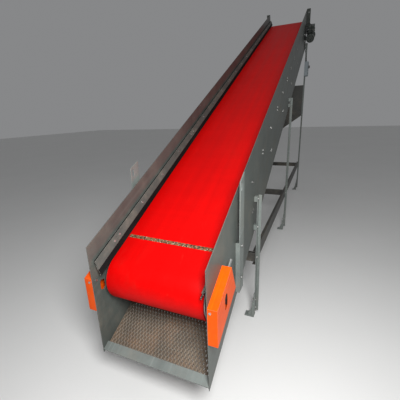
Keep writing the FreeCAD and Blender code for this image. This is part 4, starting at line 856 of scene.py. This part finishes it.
class CONVEYOR_OT_enamel(bpy.types.Operator):
    """Enamel of the plates, strips, steelwork, guards and castings"""

    bl_idname = "conveyor.enamel"
    bl_label = "Enamel"

    def execute(self, context):
        tones = context.scene.conveyor_colours
        plate = painted_steel(
            "plate_enamel", tuple(tones.plate), dust=0.22, wear=0.35, gloss=0.42, streaks=0.8
        )
        strip = painted_steel(
            "strip_enamel", tuple(tones.strip), dust=0.35, wear=0.5, gloss=0.5, streaks=0.9
        )
        steelwork = painted_steel(
            "steelwork_enamel", tuple(tones.steelwork), dust=0.25, wear=0.55
        )
        dark = painted_steel("dark_enamel", tuple(tones.dark), dust=0.3, wear=0.4)
        guard = painted_steel(
            "guard_enamel",
            tuple(tones.guard),
            dust=0.05,
            wear=0.35,
            gloss=0.4,
            streaks=0.3,
            shine=0.12,
        )
        dress(["side_plate_left", "side_plate_right"], plate)
        dress(["skirt_strips_left", "skirt_strips_right", "skirt_cleats"], strip)
        dress(
            [
                "legs_tail_end",
                "legs_middle",
                "legs_head_end",
                "adjustable_feet",
                "lug_posts",
                "tail_crossbar",
            ],
            steelwork,
        )
        dress(
            [
                "tie_rails",
                "leg_cross_members",
                "bracing_panel",
                "torque_arm",
                "bed_cross_members",
                "belly_angles",
                "roller_hangers",
                "take_up_frames",
                "guard_clips",
            ],
            dark,
        )
        dress(["tail_guard_left", "tail_guard_right"], guard)
        gearbox = cast_iron("gearbox_enamel", tuple(tones.gearbox), gloss=0.42)
        dress(["gearbox_housing"], gearbox)
        motor = cast_iron("motor_enamel", tuple(tones.motor), gloss=0.45)
        dress(["motor_frame", "fan_cowl", "terminal_box"], motor)
        bearing = cast_iron("bearing_enamel", BEARING_ENAMEL, gloss=0.5)
        dress(["take_up_blocks", "head_bearings"], bearing)
        return {"FINISHED"}


class CONVEYOR_OT_metal(bpy.types.Operator):
    """Zinc plate, turned steel and bronze"""

    bl_idname = "conveyor.metal"
    bl_label = "Metal"

    def execute(self, context):
        tones = context.scene.conveyor_colours
        zinc = rolled_steel(
            "zinc_plate", tuple(tones.zinc), roughness=0.34, turned=40, rust=0.25, edge=0.0006
        )
        dull = rolled_steel(
            "dull_plate", shade(tones.zinc, 0.45), roughness=0.5, turned=40, rust=0.5, edge=0.0006
        )
        roller = rolled_steel(
            "roller_tube", shade(tones.zinc, 0.8), roughness=0.34, turned=50, rust=0.4
        )
        steel = rolled_steel(
            "turned_steel", tuple(tones.steel), roughness=0.3, turned=80, rust=0.4
        )
        bed = rolled_steel(
            "bed_steel", shade(tones.steel, 0.9), roughness=0.36, turned=30, rust=0.5
        )
        bronze = rolled_steel("bronze", BRONZE, roughness=0.3, turned=70, rust=0.1)
        dress(
            [
                "skirt_bolts",
                "guard_bolts",
                "take_up_nuts",
                "take_up_screws",
                "cable_clips",
            ],
            zinc,
        )
        dress(["plate_bolts", "bearing_bolts", "frame_bolts"], dull)
        dress([node for node in NODES if node.startswith("return_roller_")], roller)
        dress(
            ["tail_drum", "tail_shaft", "head_drum", "head_shaft", "roller_shafts", "rotor_shaft"],
            steel,
        )
        dress(["slider_bed"], bed)
        dress(["worm_wheel"], bronze)
        return {"FINISHED"}


class CONVEYOR_OT_plastic(bpy.types.Operator):
    """Plastic and rubber of the drive's small parts"""

    bl_idname = "conveyor.plastic"
    bl_label = "Plastic"

    def execute(self, context):
        tones = context.scene.conveyor_colours
        for node, name, tone, roughness, texture in (
            ("isolator_box", "isolator_plastic", tuple(tones.isolator), 0.5, 220.0),
            ("isolator_knob", "knob_plastic", BLACK_PLASTIC, 0.25, 90.0),
            ("cable_glands", "gland_plastic", shade(BLACK_PLASTIC, 1.6), 0.45, 220.0),
            ("cooling_fan", "fan_plastic", shade(BLACK_PLASTIC, 1.3), 0.5, 220.0),
            ("motor_cable", "cable_sheath", tuple(tones.rubber), 0.55, 300.0),
        ):
            dress([node], moulded_plastic(name, tone, roughness, texture))
        return {"FINISHED"}


# ---- Stage --------------------------------------------------------------------------
CAMERA_SETBACK = 0.9755      # in front of the plates' front edge, level
CAMERA_ASIDE = 0.7544        # to the right of the conveyor's middle
CAMERA_HEIGHT = 1.6728       # eye height above the floor
CAMERA_YAW = 0.41006827
CAMERA_PITCH = 0.299966351
CAMERA_ROLL = 0.0358241376
LENS = 24.7056
SENSOR_WIDE = 36.0
SIGHT = 200.0

# Lights, level with the floor at z = 0; the key light goes with the plates' front edge.
KEY_AT = (-1.0, -1.0, 2.2)
KEY_TOWARDS = (0.7, 0.0, 0.8)
KEY_SIZE = 0.8
KEY_POWER = 92
TOP_AT = (-1.4, -0.2, 5.4)
TOP_TOWARDS = (-1.2, 0.0, 1.2)
TOP_SIZE = 3.5
TOP_POWER = 26
SKY = (0.93, 0.94, 0.96, 1)
SKY_STRENGTH = 0.26
FLOOR_SIZE = 60.0


class CONVEYOR_OT_stage(bpy.types.Operator):
    """Pale floor, soft studio light and the camera"""

    bl_idname = "conveyor.stage"
    bl_label = "Stage"

    def execute(self, context):
        self.floor()
        self.world(context.scene)
        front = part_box("side_plate_left")[0].x
        edge = Vector((front, 0, 0))
        key_at, key_towards = edge + Vector(KEY_AT), edge + Vector(KEY_TOWARDS)
        self.lamp("key_light", key_at, key_towards, KEY_SIZE, KEY_POWER)
        self.lamp("top_light", Vector(TOP_AT), Vector(TOP_TOWARDS), TOP_SIZE, TOP_POWER)
        self.camera(context.scene, front)
        context.scene.view_settings.view_transform = "Standard"
        return {"FINISHED"}

    def floor(self):
        floor = start("floor", bpy.ops.mesh.primitive_plane_add, size=FLOOR_SIZE)
        floor.data.materials.append(floor_finish("pale_floor"))

    def world(self, scene):
        world = bpy.data.worlds.new("studio")
        scene.world = world
        world.use_nodes = True
        background = world.node_tree.nodes["Background"]
        background.inputs["Color"].default_value = SKY
        background.inputs["Strength"].default_value = SKY_STRENGTH

    def lamp(self, name, at, towards, size, power):
        data = bpy.data.lights.new(name, "AREA")
        data.shape = "DISK"
        data.size = size
        data.energy = power
        lamp = bpy.data.objects.new(name, data)
        lamp.location = at
        lamp.rotation_euler = (towards - at).to_track_quat("-Z", "Y").to_euler()
        bpy.context.scene.collection.objects.link(lamp)

    def camera(self, scene, front):
        data = bpy.data.cameras.new("camera")
        data.sensor_width = SENSOR_WIDE
        data.lens = LENS
        data.clip_end = SIGHT
        camera = bpy.data.objects.new("camera", data)
        scene.collection.objects.link(camera)
        forward = Vector((
            math.cos(CAMERA_YAW) * math.cos(CAMERA_PITCH),
            math.sin(CAMERA_YAW) * math.cos(CAMERA_PITCH),
            -math.sin(CAMERA_PITCH),
        ))
        level_right = Vector((math.sin(CAMERA_YAW), -math.cos(CAMERA_YAW), 0))
        level_down = forward.cross(level_right)
        right = math.cos(CAMERA_ROLL) * level_right + math.sin(CAMERA_ROLL) * level_down
        down = -math.sin(CAMERA_ROLL) * level_right + math.cos(CAMERA_ROLL) * level_down
        turn = Matrix((right, -down, -forward)).transposed()
        at = Vector((front - CAMERA_SETBACK, TAIL_AXIS.y - CAMERA_ASIDE, CAMERA_HEIGHT))
        camera.matrix_world = Matrix.Translation(at) @ turn.to_4x4()
        scene.camera = camera


# ---- Add-on -------------------------------------------------------------------------
STEPS = (
    CONVEYOR_OT_belt,
    CONVEYOR_OT_fasteners,
    CONVEYOR_OT_skirts,
    CONVEYOR_OT_pan_mesh,
    CONVEYOR_OT_enamel,
    CONVEYOR_OT_metal,
    CONVEYOR_OT_plastic,
    CONVEYOR_OT_stage,
)


class CONVEYOR_PT_steps(bpy.types.Panel):
    """Steps of the conveyor's making"""

    bl_idname = "CONVEYOR_PT_steps"
    bl_label = "Conveyor"
    bl_space_type = "VIEW_3D"
    bl_region_type = "UI"
    bl_category = "Conveyor"

    def draw(self, context):
        column = self.layout.column(align=True)
        for step in STEPS:
            column.operator(step.bl_idname, text=step.bl_label)
        for group in (context.scene.conveyor_sizes, context.scene.conveyor_colours):
            fields = self.layout.column(align=True)
            for name in group.__annotations__:
                fields.prop(group, name)


CLASSES = (ConveyorSizes, ConveyorColours, *STEPS, CONVEYOR_PT_steps)


def register():
    for item in CLASSES:
        bpy.utils.register_class(item)
    bpy.types.Scene.conveyor_sizes = PointerProperty(type=ConveyorSizes)
    bpy.types.Scene.conveyor_colours = PointerProperty(type=ConveyorColours)


def unregister():
    del bpy.types.Scene.conveyor_sizes
    del bpy.types.Scene.conveyor_colours
    for item in reversed(CLASSES):
        bpy.utils.unregister_class(item)


def main():
    register()
    for step in STEPS:
        group, name = step.bl_idname.split(".")
        getattr(getattr(bpy.ops, group), name)()


if __name__ == "__main__":
    main()
